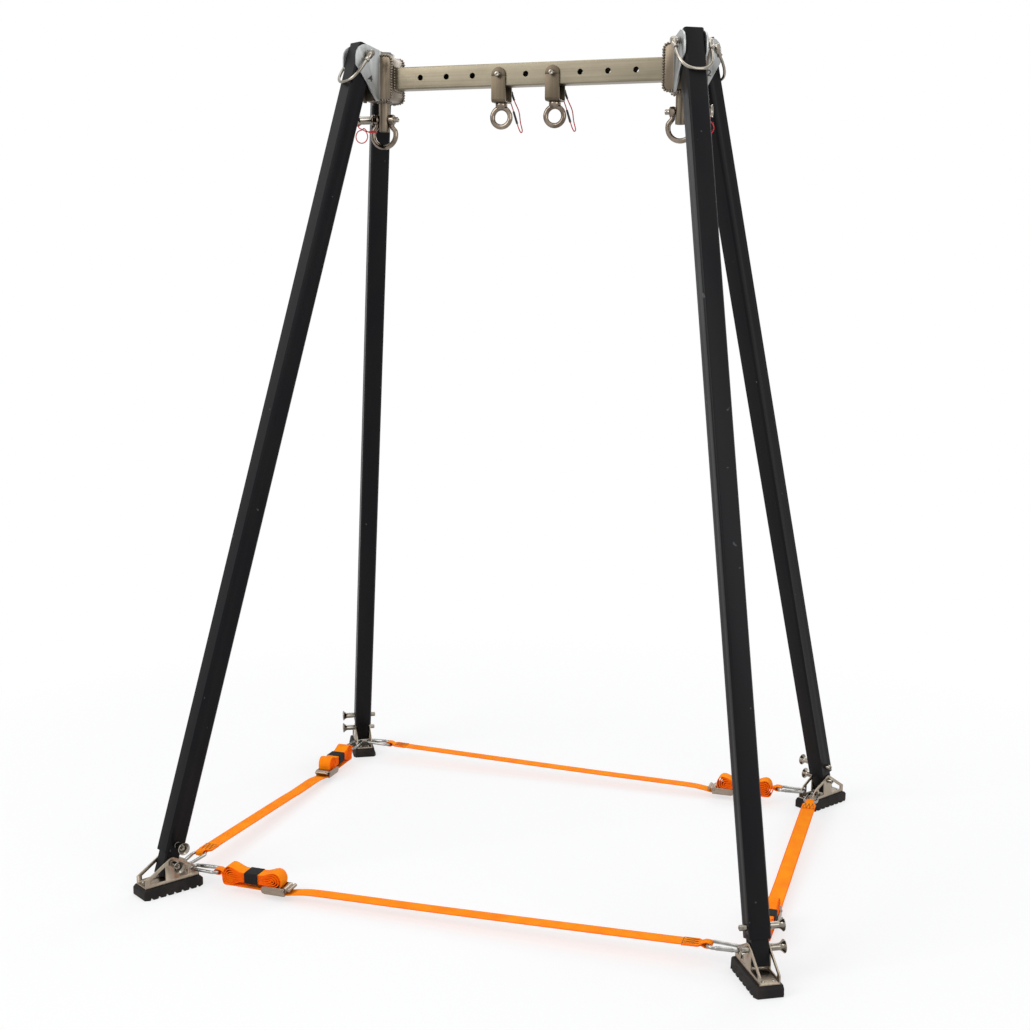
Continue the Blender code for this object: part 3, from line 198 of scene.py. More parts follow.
@dataclass
class Form:
    """Vertices and faces of one or more closed shells, with each vertex's lay on the surface."""

    verts: list[Vector] = field(default_factory=list)
    faces: list[tuple[int, ...]] = field(default_factory=list)
    lay: list[Rgb] = field(default_factory=list)

    def add(self, other: "Form", place: Matrix | None = None) -> "Form":
        """Take in another form.

        Args:
            other: The form to take in.
            place: Where to place it.

        Returns:
            This form.
        """
        start = len(self.verts)
        self.lay += [(0.0, 0.0, 0.0)] * (start - len(self.lay))
        self.verts += [place @ v if place else v.copy() for v in other.verts]
        self.faces += [tuple(i + start for i in face) for face in other.faces]
        self.lay += other.lay or [(0.0, 0.0, 0.0)] * len(other.verts)
        return self

    def skin(self, sides: int, closed: bool = False) -> "Form":
        """Join the rings of vertices, and cap the two ends unless they meet.

        Args:
            sides: How many vertices each ring has.
            closed: Whether the last ring joins the first.

        Returns:
            This form.
        """
        count = len(self.verts) // sides
        for ring in range(count if closed else count - 1):
            low, high = ring * sides, (ring + 1) % count * sides
            for i in range(sides):
                j = (i + 1) % sides
                self.faces.append((low + i, low + j, high + j, high + i))
        if not closed:
            last = len(self.verts) - sides
            self.faces += [tuple(range(sides)), tuple(range(last, last + sides))]
        return self

    def mesh(self, name: str) -> bpy.types.Mesh:
        """Make a mesh with its faces pointing out and its lay as an attribute."""
        made = bpy.data.meshes.new(name)
        made.from_pydata([tuple(v) for v in self.verts], [], self.faces)
        shape = bmesh.new()
        shape.from_mesh(made)
        bmesh.ops.recalc_face_normals(shape, faces=shape.faces)
        shape.to_mesh(made)
        shape.free()
        if any(any(value) for value in self.lay):
            data = made.attributes.new("lay", "FLOAT_VECTOR", "POINT").data
            data.foreach_set("vector", [c for value in self.lay for c in value])
        return shaded(made)


def shaded(mesh: bpy.types.Mesh) -> bpy.types.Mesh:
    """The mesh, smooth but for its sharp edges."""
    mesh.shade_smooth()
    mesh.set_sharp_from_angle(angle=CREASE)
    return mesh


def arc(centre: Point, radius: float, start: float, end: float, steps: int) -> list[Point]:
    """Points of an arc, with its angles in degrees."""
    angles = [math.radians(start + (end - start) * i / steps) for i in range(steps + 1)]
    return [(centre[0] + radius * math.cos(a), centre[1] + radius * math.sin(a)) for a in angles]


def circle(radius: float, sides: int, centre: Point = CENTRE, start: float = 0) -> list[Point]:
    """Points once round a circle, from an angle in degrees."""
    return arc(centre, radius, start, start + 360, sides)[:-1]


def beside(x: float, z: float, *steps: Point) -> list[Point]:
    """Points at small steps from a point."""
    return [(x + a, z + b) for a, b in steps]


def mirrored(profile: Sequence[Point]) -> list[Point]:
    """A profile's other half, past the origin along its axis."""
    return [(radius, -along) for radius, along in reversed(profile)]


def rounded_box(half: float, low: float, high: float, corner: float) -> list[Point]:
    """The outline of a box with round corners, from its half width and its two heights."""
    a, top, bottom = half - corner, high - corner, low + corner
    outline = []
    for x, z, start in ((a, top, 0), (-a, top, 90), (-a, bottom, 180), (a, bottom, 270)):
        outline += arc((x, z), corner, start, start + 90, 5)
    return outline


def smooth_path(points: Sequence[Spot], steps: int) -> list[Vector]:
    """A Catmull-Rom curve through the points, with so many steps between each two."""
    spots = [Vector(p) for p in points]
    padded = [spots[0] * 2 - spots[1], *spots, spots[-1] * 2 - spots[-2]]
    path = []
    for before, start, end, after in zip(padded, padded[1:], padded[2:], padded[3:]):
        for step in range(steps):
            t = step / steps
            bend = (2 * before - 5 * start + 4 * end - after) * t * t
            twist = (3 * start - before - 3 * end + after) * t * t * t
            path.append((2 * start + (end - before) * t + bend + twist) / 2)
    return [*path, spots[-1]]


def path_length(path: Sequence[Vector]) -> float:
    """The length of a polyline."""
    return sum((b - a).length for a, b in zip(path, path[1:]))


def lathe(profile: Sequence[Point], axis: Axis, sides: int = 40) -> Form:
    """A closed solid turned about an axis, from (radius, distance along) points off the axis."""
    form = Form()
    for radius, along in profile:
        form.verts += [axis.at(a, b, along) for a, b in circle(radius, sides)]
    return form.skin(sides)


def rod(radius: float, half: float, axis: Axis, sides: int = 40, blunt: Point = CENTRE) -> Form:
    """A round rod about the origin, with its ends cut back inwards and along."""
    end = [(radius, blunt[1] - half)]
    if any(blunt):
        end.insert(0, (radius - blunt[0], -half))
    return lathe([*end, *mirrored(end)], axis, sides)


def dome(radius: float, start: float, steps: int, sides: int) -> Form:
    """A round cap about +Z, from an angle in degrees up to its pole."""
    profile = [(max(r, 0.0001), z) for r, z in arc(CENTRE, radius, start, 90, steps)]
    return lathe(profile, Axis.Z, sides)


def sweep(
    line: Sequence[Spot], radii: float | Sequence[float], closed: bool = False, sides: int = 14
) -> Form:
    """A round wire along a path, without twist.

    Args:
        line: The centre line.
        radii: One radius, or one for each point.
        closed: Whether the path joins itself.
        sides: How many flats go round.

    Returns:
        The closed form. Its lay holds the distance along the wire and the angle round it.
    """
    path, count = [Vector(p) for p in line], len(line)
    sizes = [radii] * count if isinstance(radii, float) else list(radii)
    form, along, normal = Form(), 0.0, None
    for i, point in enumerate(path):
        before = path[i - 1] if i or closed else point
        after = path[(i + 1) % count] if i < count - 1 or closed else point
        tangent = (after - before).normalized()
        if normal is None:
            helper = Vector((0, 1, 0)) if abs(tangent.y) < 0.9 else Vector((1, 0, 0))
            normal = tangent.cross(helper).normalized()
        normal = (normal - tangent * normal.dot(tangent)).normalized()
        other = tangent.cross(normal)
        along += (point - path[i - 1]).length if i else 0.0
        for side in range(sides):
            angle = 2 * math.pi * side / sides
            spoke = normal * math.cos(angle) + other * math.sin(angle)
            form.verts.append(point + spoke * sizes[i])
            form.lay.append((along, angle, sizes[i]))
    return form.skin(sides, closed)


def plate(
    outline: Sequence[Point], low: float, high: float, axis: Axis, round_off: float = 0.0
) -> Form:
    """An outline extruded along an axis, with its edges rounded.

    Args:
        outline: The (a, b) points of the outline.
        low: Where it starts along the axis.
        high: Where it ends.
        axis: The axis.
        round_off: The radius of the edges.

    Returns:
        The closed form.
    """
    shape = bmesh.new()
    face = shape.faces.new([shape.verts.new(axis.at(a, b, low)) for a, b in outline])
    extruded = bmesh.ops.extrude_face_region(shape, geom=[face])
    moved = [item for item in extruded["geom"] if isinstance(item, bmesh.types.BMVert)]
    bmesh.ops.translate(shape, verts=moved, vec=axis.at(0.0, 0.0, high - low))
    bmesh.ops.recalc_face_normals(shape, faces=shape.faces)
    sharp = [e for e in shape.edges if e.calc_face_angle(0.0) > math.radians(25)]
    if round_off:
        bmesh.ops.bevel(
            shape, geom=sharp, offset=round_off, segments=2, profile=0.6,
            affect="EDGES", clamp_overlap=True,
        )
    shape.verts.index_update()
    form = Form([v.co.copy() for v in shape.verts])
    form.faces = [tuple(v.index for v in f.verts) for f in shape.faces]
    shape.free()
    return form


def webbing(
    line: Sequence[Spot], width: float | Callable[[float], float], thick: float
) -> Form:
    """Flat webbing along a side-view path, with rounded selvedges.

    Args:
        line: The path's (x, z) points.
        width: The webbing's width, or its width at an x.
        thick: Its thickness.

    Returns:
        The closed form. Its lay holds the distance along and the place across, from -1 to 1.
    """
    upper = [(-1.0, 0.0), (-0.985, 0.6), (-0.95, 0.92), (-0.5, 1.0), (0.0, 1.0)]
    upper += [(-a, b) for a, b in reversed(upper[:-1])]
    section = upper + [(a, -b) for a, b in reversed(upper[1:-1])]
    path, form, along = [Vector(p) for p in line], Form(), 0.0
    for i, point in enumerate(path):
        before, after = path[max(i - 1, 0)], path[min(i + 1, len(path) - 1)]
        tangent = (after - before).normalized()
        normal = Vector((-tangent.y, tangent.x))
        along += (point - path[i - 1]).length if i else 0.0
        wide = (width(point.x) if callable(width) else width) / 2
        for across, lift in section:
            spot = point + normal * lift * (thick / 2)
            form.verts.append(Vector((spot.x, across * wide, spot.y)))
            form.lay.append((along, across, 1.0))
    return form.skin(len(section))


def linked(name: str, data: bpy.types.ID) -> bpy.types.Object:
    """A new object in the scene."""
    made = bpy.data.objects.new(name, data)
    bpy.context.scene.collection.objects.link(made)
    return made


def softened(node: str, width: float) -> bpy.types.Mesh:
    """A copy of a model node's mesh with its sharp edges rounded to this width."""
    shape = bmesh.new()
    shape.from_mesh(frame["nodes"][node].data)
    bmesh.ops.remove_doubles(shape, verts=shape.verts, dist=2e-6)
    bmesh.ops.dissolve_limit(
        shape, angle_limit=math.radians(0.6), verts=shape.verts, edges=shape.edges
    )
    bmesh.ops.recalc_face_normals(shape, faces=shape.faces)
    clean = bpy.data.meshes.new("clean")
    shape.to_mesh(clean)
    shape.free()
    clean.shade_smooth()
    holder = linked("holder", clean)
    add_rounding(holder, width)
    made = flattened(holder)
    made.name = node
    return made


def carved(base: Form, cutters: Form, round_off: float = 0.0) -> bpy.types.Mesh:
    """A shape with cutters taken out of it and its sharp edges rounded.

    Args:
        base: The shape.
        cutters: The shapes to take out, which may overlap.
        round_off: The width of the rounding, or 0.

    Returns:
        The new mesh.
    """
    holder = linked("base", base.mesh("base"))
    tool = linked("cutters", cutters.mesh("cutters"))
    tool.hide_render = True
    cut = holder.modifiers.new("cut", "BOOLEAN")
    cut.operation = "DIFFERENCE"
    cut.use_self = True
    cut.object = tool
    if round_off:
        add_rounding(holder, round_off)
    made = flattened(holder)
    bpy.data.objects.remove(tool)
    return shaded(made)


def add_rounding(holder: bpy.types.Object, width: float) -> None:
    """Round an object's sharp edges with a Bevel modifier."""
    rounding = holder.modifiers.new("rounding", "BEVEL")
    rounding.width = width
    rounding.segments = 2
    rounding.limit_method = "ANGLE"
    rounding.angle_limit = math.radians(38)
    rounding.use_clamp_overlap = True
    rounding.harden_normals = True


def flattened(holder: bpy.types.Object) -> bpy.types.Mesh:
    """The plain mesh of an object with its modifiers applied. The object is removed."""
    bpy.context.view_layer.update()
    graph = bpy.context.evaluated_depsgraph_get()
    made = bpy.data.meshes.new_from_object(holder.evaluated_get(graph))
    old = holder.data
    bpy.data.objects.remove(holder)
    bpy.data.batch_remove([old])
    return made


# Materials


class Graph:
    """Adds nodes to one node tree."""

    def __init__(self, tree: bpy.types.NodeTree) -> None:
        """Take the tree."""
        self.tree = tree

    def node(
        self, kind: str, values: Mapping[str | int, object] | None = None, **settings: object
    ) -> bpy.types.Node:
        """Add a node.

        Args:
            kind: The node's type.
            values: Values or links for its inputs, by name or index.
            **settings: Its properties, which are set first.

        Returns:
            The node.
        """
        made = self.tree.nodes.new(kind)
        for name, setting in settings.items():
            setattr(made, name, setting)
        for name, value in (values or {}).items():
            self.plug(made.inputs[name], value)
        return made

    def plug(self, socket: bpy.types.NodeSocket, value: object) -> None:
        """Set a socket to a value, or link it to a reading or another socket."""
        source = value.socket if isinstance(value, Reading) else value
        if isinstance(source, bpy.types.NodeSocket):
            self.tree.links.new(source, socket)
        else:
            socket.default_value = value

    def reading(self, socket: bpy.types.NodeSocket) -> "Reading":
        """A socket as a number to reckon with."""
        return Reading(self, socket)


class Reading:
    """A number in a node tree. Arithmetic on it adds Math nodes."""

    def __init__(self, graph: Graph, socket: bpy.types.NodeSocket) -> None:
        """Wrap an output socket of a graph."""
        self.graph, self.socket = graph, socket

    def math(self, operation: str, *operands: "Reading | float") -> "Reading":
        """The result of a Math node with this operation and all these operands."""
        made = self.graph.node("ShaderNodeMath", dict(enumerate(operands)), operation=operation)
        return Reading(self.graph, made.outputs[0])

    def __add__(self, other: "Reading | float") -> "Reading":
        """The sum."""
        return self.math("ADD", self, other)

    __radd__ = __add__

    def __sub__(self, other: "Reading | float") -> "Reading":
        """The difference."""
        return self.math("SUBTRACT", self, other)

    def __rsub__(self, other: float) -> "Reading":
        """The difference from a number."""
        return self.math("SUBTRACT", other, self)

    def __mul__(self, other: "Reading | float") -> "Reading":
        """The product."""
        return self.math("MULTIPLY", self, other)

    __rmul__ = __mul__

    def sine(self) -> "Reading":
        """The sine."""
        return self.math("SINE", self)

    def size(self) -> "Reading":
        """The absolute value."""
        return self.math("ABSOLUTE", self)

    def root(self) -> "Reading":
        """The square root."""
        return self.math("SQRT", self)

    def most(self, other: "Reading | float") -> "Reading":
        """The larger of the two."""
        return self.math("MAXIMUM", self, other)

    def over(self, edge: float, soft: float) -> "Reading":
        """A mask that rises from 0 to 1 over a soft edge."""
        risen = ((self - edge) * (1.0 / soft)).most(0.0)
        return self.math("MINIMUM", risen, 1.0)


class Recipe(Graph):
    """A Principled material under construction."""

    def __init__(self, name: str) -> None:
        """Start a material with this name."""
        self.material = bpy.data.materials.new(name)
        self.material.use_nodes = True
        super().__init__(self.material.node_tree)
        self.shader = self.tree.nodes["Principled BSDF"]

    def place(self) -> bpy.types.NodeSocket:
        """The Object coordinates."""
        return self.node("ShaderNodeTexCoord").outputs["Object"]

    def parts(self, vector: bpy.types.NodeSocket) -> list[Reading]:
        """The three parts of a vector."""
        split = self.node("ShaderNodeSeparateXYZ", {0: vector})
        return [self.reading(socket) for socket in split.outputs]

    def lay(self) -> list[Reading]:
        """The distance along a strap or cord, and the place across or round it."""
        read = self.node("ShaderNodeAttribute", attribute_name="lay")
        return self.parts(read.outputs["Vector"])[:2]

    def noise(self, scale: float, stretch: Rgb = (1, 1, 1), detail: float = 3.0) -> Reading:
        """Noise from 0 to 1, stretched along the axes where its stretch is low."""
        spot = self.node("ShaderNodeMapping", {"Vector": self.place(), "Scale": stretch})
        values = {"Vector": spot.outputs[0], "Scale": scale, "Detail": detail}
        return self.reading(self.node("ShaderNodeTexNoise", values).outputs["Fac"])

    def mix(self, share: Reading, low: Colour, high: Colour) -> bpy.types.NodeSocket:
        """A colour between two colours, each of them plain or linked."""
        ends = [(*end, 1.0) if isinstance(end, tuple) else end for end in (low, high)]
        values = {0: share, 6: ends[0], 7: ends[1]}
        return self.node("ShaderNodeMix", values, data_type="RGBA").outputs[2]

    def bump(self, height: Reading, depth: float) -> None:
        """Raise the surface by a height of so many metres."""
        made = self.node("ShaderNodeBump", {"Height": height, "Distance": depth})
        self.plug(self.shader.inputs["Normal"], made.outputs[0])

    def steel(self, grain: Rgb, roughness: float) -> Reading:
        """Give it a steel's grain, stains and gloss, and return the share of its light tone."""
        line, stain = self.noise(1.0, grain, 5.0), self.noise(9.0)
        self.bump(line, 0.00003)
        rough = line * 0.16 + stain * 0.14 + (roughness - 0.12)
        self.finish(Roughness=rough, Metallic=1.0)
        return (line * 0.55 + stain * 0.75).over(0.40, 0.5)

    def finish(self, **values: object) -> bpy.types.Material:
        """Set the shader's sockets, named with _ for a space, and return the material."""
        for name, value in values.items():
            self.plug(self.shader.inputs[name.replace("_", " ")], value)
        return self.material


@dataclass(frozen=True)
class BrushedSteel:
    """Stainless steel with a grain, faint stains and handling marks."""

    name: str
    light: Rgb
    dark: Rgb
    grain: Rgb
    roughness: float

    def make(self) -> bpy.types.Material:
        """The material."""
        recipe = Recipe(self.name)
        share = recipe.steel(self.grain, self.roughness)
        return recipe.finish(Base_Color=recipe.mix(share, self.dark, self.light))


@dataclass(frozen=True)
class HeadSteel:
    """The heads' steel: light grey plates on a darker, warmer block and stem."""

    name: str
    plate: Rgb = (0.465, 0.48, 0.475)
    plate_dark: Rgb = (0.29, 0.295, 0.29)
    block: Rgb = (0.245, 0.200, 0.150)
    block_dark: Rgb = (0.104, 0.082, 0.058)
    block_half: float = 0.0380

    def make(self) -> bpy.types.Material:
        """The material."""
        recipe = Recipe(self.name)
        share = recipe.steel((240, 240, 9), 0.36)
        block = recipe.mix(share, self.block_dark, self.block)
        plate = recipe.mix(share, self.plate_dark, self.plate)
        aside = recipe.parts(recipe.place())[1].size().over(self.block_half, 0.0006)
        return recipe.finish(Base_Color=recipe.mix(aside, block, plate))


@dataclass(frozen=True)
class Mottled:
    """Two tones in soft clouds over a fine relief, as on thread, paint, weld metal or rubber; on
    polished steel the two tones are painted reflections.
    """

    name: str
    light: Rgb
    dark: Rgb
    roughness: float
    metallic: float = 0.0
    cloud: float = 400.0
    detail: float = 3.0
    contrast: Point = (0.3, 0.4)
    relief: tuple[float, Rgb, float] | None = None
    depth: float = 0.00005
    rough_swing: float = 0.12
    gloss: float = 0.5

    def make(self) -> bpy.types.Material:
        """The material."""
        recipe = Recipe(self.name)
        cloud = recipe.noise(self.cloud, detail=self.detail)
        recipe.bump(recipe.noise(*self.relief) if self.relief else cloud, self.depth)
        return recipe.finish(
            Base_Color=recipe.mix(cloud.over(*self.contrast), self.dark, self.light),
            Roughness=cloud * self.rough_swing + self.roughness,
            Metallic=self.metallic, Specular_IOR_Level=self.gloss,
        )


@dataclass(frozen=True)
class PolishedSteel(Mottled):
    """Bright turned steel with fine rub marks in its relief, and painted reflections as sharp light
    and dark blotches in its colour.
    """

    # The light and dark tones, split sharply by the contrast, are painted reflections.
    light: Rgb = (0.40, 0.37, 0.32)
    dark: Rgb = (0.19, 0.17, 0.14)
    roughness: float = 0.10
    metallic: float = 1.0
    cloud: float = 34.0
    detail: float = 2.0
    contrast: Point = (0.34, 0.36)
    relief: tuple[float, Rgb, float] = (900.0, (1, 1, 0.2), 2.0)
    depth: float = 0.000012
    rough_swing: float = 0.10


@dataclass(frozen=True)
class Rubber(Mottled):
    """Moulded rubber with a dusty, pitted skin."""

    light: Rgb = (0.034, 0.028, 0.024)
    dark: Rgb = (0.0095, 0.0080, 0.0075)
    roughness: float = 0.62
    cloud: float = 30.0
    contrast: Point = (0.40, 0.45)
    relief: tuple[float, Rgb, float] = (700.0, (1, 1, 1), 3.0)
    depth: float = 0.00025
    rough_swing: float = 0.2
    gloss: float = 0.2


@dataclass(frozen=True)
class Anodised:
    """Black anodised tube: an even coat with dust, flecks and faint draw lines."""

    name: str
    body: Rgb = (0.0024, 0.0024, 0.0036)
    dust: Rgb = (0.0062, 0.0054, 0.0054)
    fleck: Rgb = (0.10, 0.10, 0.10)

    def make(self) -> bpy.types.Material:
        """The material."""
        recipe = Recipe(self.name)
        cloud = recipe.noise(14.0, (1, 1, 0.35))
        speck = recipe.noise(900.0, detail=2.0)
        fleck = recipe.noise(60.0, detail=1.0).over(0.775, 0.02)
        draw = recipe.noise(1.0, (260, 260, 4), 4.0)
        recipe.bump(speck * 0.6 + draw * 0.6, 0.00004)
        colour = recipe.mix(cloud.over(0.42, 0.4), self.body, self.dust)
        colour = recipe.mix(fleck * 0.5, colour, self.fleck)
        rough = cloud * 0.16 + speck * 0.08 + 0.30
        return recipe.finish(Base_Color=colour, Roughness=rough, Specular_IOR_Level=0.13)


@dataclass(frozen=True)
class WovenWeb:
    """Polyester webbing: ribs across, a herringbone of yarn and a darker selvedge."""

    name: str
    body: Rgb
    shade: Rgb
    edge: Rgb
    wide: float = 0.035
    rib: float = 0.0016
    yarn: float = 0.0011

    def make(self) -> bpy.types.Material:
        """The material."""
        recipe = Recipe(self.name)
        along, across = recipe.lay()
        rib = (along * (2 * math.pi / self.rib)).sine()
        yarn = (across * (self.wide * math.pi / self.yarn)).sine()
        skew = ((along + across.size() * 0.006) * (math.pi / self.rib)).sine()
        weave = rib * 0.35 + yarn * rib * 0.45 + skew * 0.2
        worn = recipe.noise(26.0)
        recipe.bump(weave * 0.5 + 0.5, 0.00016)
        shade = (weave * 0.22 + worn * 0.9 - 0.05).over(0.12, 0.62)
        colour = recipe.mix(shade, self.shade, self.body)
        colour = recipe.mix(across.size().over(0.86, 0.05) * 0.7, colour, self.edge)
        rough = worn * 0.12 + 0.68
        return recipe.finish(Base_Color=colour, Roughness=rough, Specular_IOR_Level=0.12)


@dataclass(frozen=True)
class BraidedCord:
    """A thin braided cord."""

    name: str
    body: Rgb
    shade: Rgb
    pitch: float = 0.0030

    def make(self) -> bpy.types.Material:
        """The material."""
        recipe = Recipe(self.name)
        along, angle = recipe.lay()
        lap, turn = along * (2 * math.pi / self.pitch), angle * 2.0
        strands = (lap + turn).sine().most((lap - turn).sine())
        recipe.bump(strands, 0.00022)
        colour = recipe.mix(strands.over(-0.4, 1.0), self.shade, self.body)
        return recipe.finish(Base_Color=colour, Roughness=0.62)


class Look(Enum):
    """The finishes, each with the model's material slot that it stands for."""

    LEG = ("black_anodised", Anodised("leg black"))
    INNER_LEG = ("black_anodised", Anodised("inner leg black", (0.0045, 0.0045, 0.0050)))
    BAR = ("brushed_stainless", BrushedSteel(
        "bar steel", (0.300, 0.265, 0.195), (0.176, 0.150, 0.107), (3, 300, 300), 0.36))
    HEAD = ("satin_stainless", HeadSteel("head steel"))
    HANGER = ("bracket_stainless", BrushedSteel(
        "hanger steel", (0.155, 0.124, 0.086), (0.080, 0.063, 0.044), (280, 280, 8), 0.38))
    BRACKET = ("foot_stainless", BrushedSteel(
        "bracket steel", (0.46, 0.39, 0.305), (0.245, 0.20, 0.155), (200, 200, 14), 0.33))
    # PIN, SHACKLE and HOOK: their light and dark tones are painted reflections.
    PIN = ("polished_steel", PolishedSteel("pin steel"))
    SHACKLE = ("polished_steel", PolishedSteel(
        "shackle steel", (0.31, 0.255, 0.205), (0.125, 0.10, 0.078)))
    HOOK = ("zinc_plated_steel", PolishedSteel(
        "hook zinc", (0.43, 0.42, 0.40), (0.21, 0.203, 0.19), 0.12))
    BUCKLE = ("buckle_steel", BrushedSteel(
        "buckle steel", (0.38, 0.30, 0.235), (0.22, 0.17, 0.13), (60, 300, 300), 0.30))
    PAD = ("black_rubber", Rubber("pad rubber"))
    WEB = ("orange_webbing", WovenWeb(
        "orange webbing", (1.0, 0.340, 0.002), (0.98, 0.205, 0.002), (0.98, 0.105, 0.002)))
    BAND = ("orange_webbing", WovenWeb(
        "black elastic", (0.022, 0.020, 0.020), (0.007, 0.006, 0.006), (0.012, 0.011, 0.011),
        0.042))
    CORD = ("polished_steel", BraidedCord(
        "red cord", (0.62, 0.012, 0.022), (0.30, 0.006, 0.010)))
    SLEEVE = ("polished_steel", Mottled(
        "black sleeve", (0.018, 0.018, 0.018), (0.007, 0.007, 0.007), 0.39))
    THREAD = ("orange_webbing", Mottled(
        "dark red thread", (0.24, 0.012, 0.008), (0.12, 0.007, 0.005), 0.64))
    WELD = ("satin_stainless", Mottled(
        "weld metal", (0.26, 0.225, 0.18), (0.10, 0.083, 0.066), 0.24, 1.0, 300.0))
    PAINT = ("satin_stainless", Mottled(
        "etched black", (0.020, 0.020, 0.022), (0.010, 0.010, 0.010), 0.44))
    BUTTON = ("foot_stainless", Mottled(
        "button steel", (0.50, 0.48, 0.45), (0.25, 0.24, 0.22), 0.19, 1.0))

    def __init__(self, slot: str, finish: object) -> None:
        """Name the parts of the value."""
        self.slot, self.finish = slot, finish


# Placing


@dataclass
class Workshop:
    """Turns meshes into pieces that ride on the model's bodies."""

    paint: dict[Look, bpy.types.Material] = field(
        default_factory=lambda: {look: look.finish.make() for look in Look}
    )

    def piece(
        self, name: str, shape: Form | bpy.types.Mesh, look: Look, body: str, *nodes: str,
        place: Matrix | None = None,
    ) -> bpy.types.Object:
        """Make a finished piece.

        Args:
            name: Its name.
            shape: Its form or mesh.
            look: Its finish.
            body: The body that it rides on.
            *nodes: The model's nodes that it replaces.
            place: Where a form goes, if it isn't in place yet.

        Returns:
            The piece.
        """
        if isinstance(shape, Form):
            shape = (Form().add(shape, place) if place else shape).mesh(name)
        shape.materials.clear()
        shape.materials.append(self.paint[look])
        made = linked(name, shape)
        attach(made, body)
        if nodes:
            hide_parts(*nodes)
        log.info("%s on %s", name, body)
        return made

    def lanyard(
        self, name: str, path: Sequence[Vector], thick: float, body: str, node: str,
    ) -> None:
        """Make a pin's lanyard as a cord.

        Args:
            name: Its name.
            path: Its line from the pin's handle.
            thick: Its diameter.
            body: The body that it rides on.
            node: The model's node that it replaces.
        """
        cord = sweep(path, thick / 2, sides=12)
        made = self.piece(name, cord, Look.CORD, body, node)
        path_length(path)


@dataclass
class Repeat:
    """A Geometry Nodes tree that lays grains along a path, such as weld ripples or stitches."""

    name: str
    pitch: float
    size: Rgb
    jitter: float
    seed: int = 7
    rings: int = 6

    def inputs(self) -> dict[str, tuple[str, object]]:
        """Each named input's kind and value."""
        return {
            "Path": ("Geometry", None), "Pitch": ("Float", self.pitch),
            "Grain Size": ("Vector", self.size), "Jitter": ("Float", self.jitter),
            "Seed": ("Int", self.seed),
        }

    def tree(self, material: bpy.types.Material) -> bpy.types.NodeTree:
        """The node tree, with its sizes as named inputs."""
        tree = bpy.data.node_groups.new(self.name, "GeometryNodeTree")
        for name, (kind, _) in self.inputs().items():
            tree.interface.new_socket(name, in_out="INPUT", socket_type=f"NodeSocket{kind}")
        tree.interface.new_socket("Result", in_out="OUTPUT", socket_type="NodeSocketGeometry")
        graph = Graph(tree)
        given = graph.node("NodeGroupInput").outputs
        curve = graph.node("GeometryNodeMeshToCurve", {0: given["Path"]})
        spaced = graph.node(
            "GeometryNodeResampleCurve",
            {"Curve": curve.outputs[0], "Length": given["Pitch"]}, mode="LENGTH",
        )
        grain = graph.node(
            "GeometryNodeMeshUVSphere",
            {"Segments": self.rings + 2, "Rings": self.rings, "Radius": 1.0},
        )
        tangent = graph.node("GeometryNodeInputTangent").outputs[0]
        turn = graph.node("FunctionNodeAlignRotationToVector", {"Vector": tangent}, axis="X")
        spread = graph.node("FunctionNodeRandomValue", {"Seed": given["Seed"]}, data_type="FLOAT")
        low, high = [socket for socket in spread.inputs if socket.type == "VALUE"][:2]
        jitter = graph.reading(given["Jitter"])
        graph.plug(low, 1.0 - jitter)
        graph.plug(high, 1.0 + jitter)
        drawn = next(socket for socket in spread.outputs if socket.type == "VALUE")
        scale = graph.node(
            "ShaderNodeVectorMath", {0: given["Grain Size"], "Scale": drawn}, operation="SCALE"
        )
        laid = graph.node("GeometryNodeInstanceOnPoints", {
            "Points": spaced.outputs[0], "Instance": grain.outputs["Mesh"],
            "Rotation": turn.outputs[0], "Scale": scale.outputs[0],
        })
        real = graph.node("GeometryNodeRealizeInstances", {0: laid.outputs[0]})
        smooth = graph.node("GeometryNodeSetShadeSmooth", {0: real.outputs[0]})
        painted = graph.node(
            "GeometryNodeSetMaterial", {0: smooth.outputs[0], "Material": material}
        )
        graph.node("NodeGroupOutput", {0: painted.outputs[0]})
        return tree

    def mesh(
        self, paths: Sequence[Sequence[Spot]], material: bpy.types.Material
    ) -> bpy.types.Mesh:
        """One plain mesh of the grains along the paths, which are in world space."""
        points, edges = [], []
        for path in paths:
            start = len(points)
            points += [tuple(p) for p in path]
            edges += [(start + i, start + i + 1) for i in range(len(path) - 1)]
        line = bpy.data.meshes.new(self.name)
        line.from_pydata(points, edges, [])
        holder = linked(self.name, line)
        step = holder.modifiers.new("grains", "NODES")
        step.node_group = self.tree(material)
        for item in step.node_group.interface.items_tree:
            if item.in_out == "INPUT" and item.name != "Path":
                step[item.identifier] = self.inputs()[item.name][1]
        return flattened(holder)


# Pins


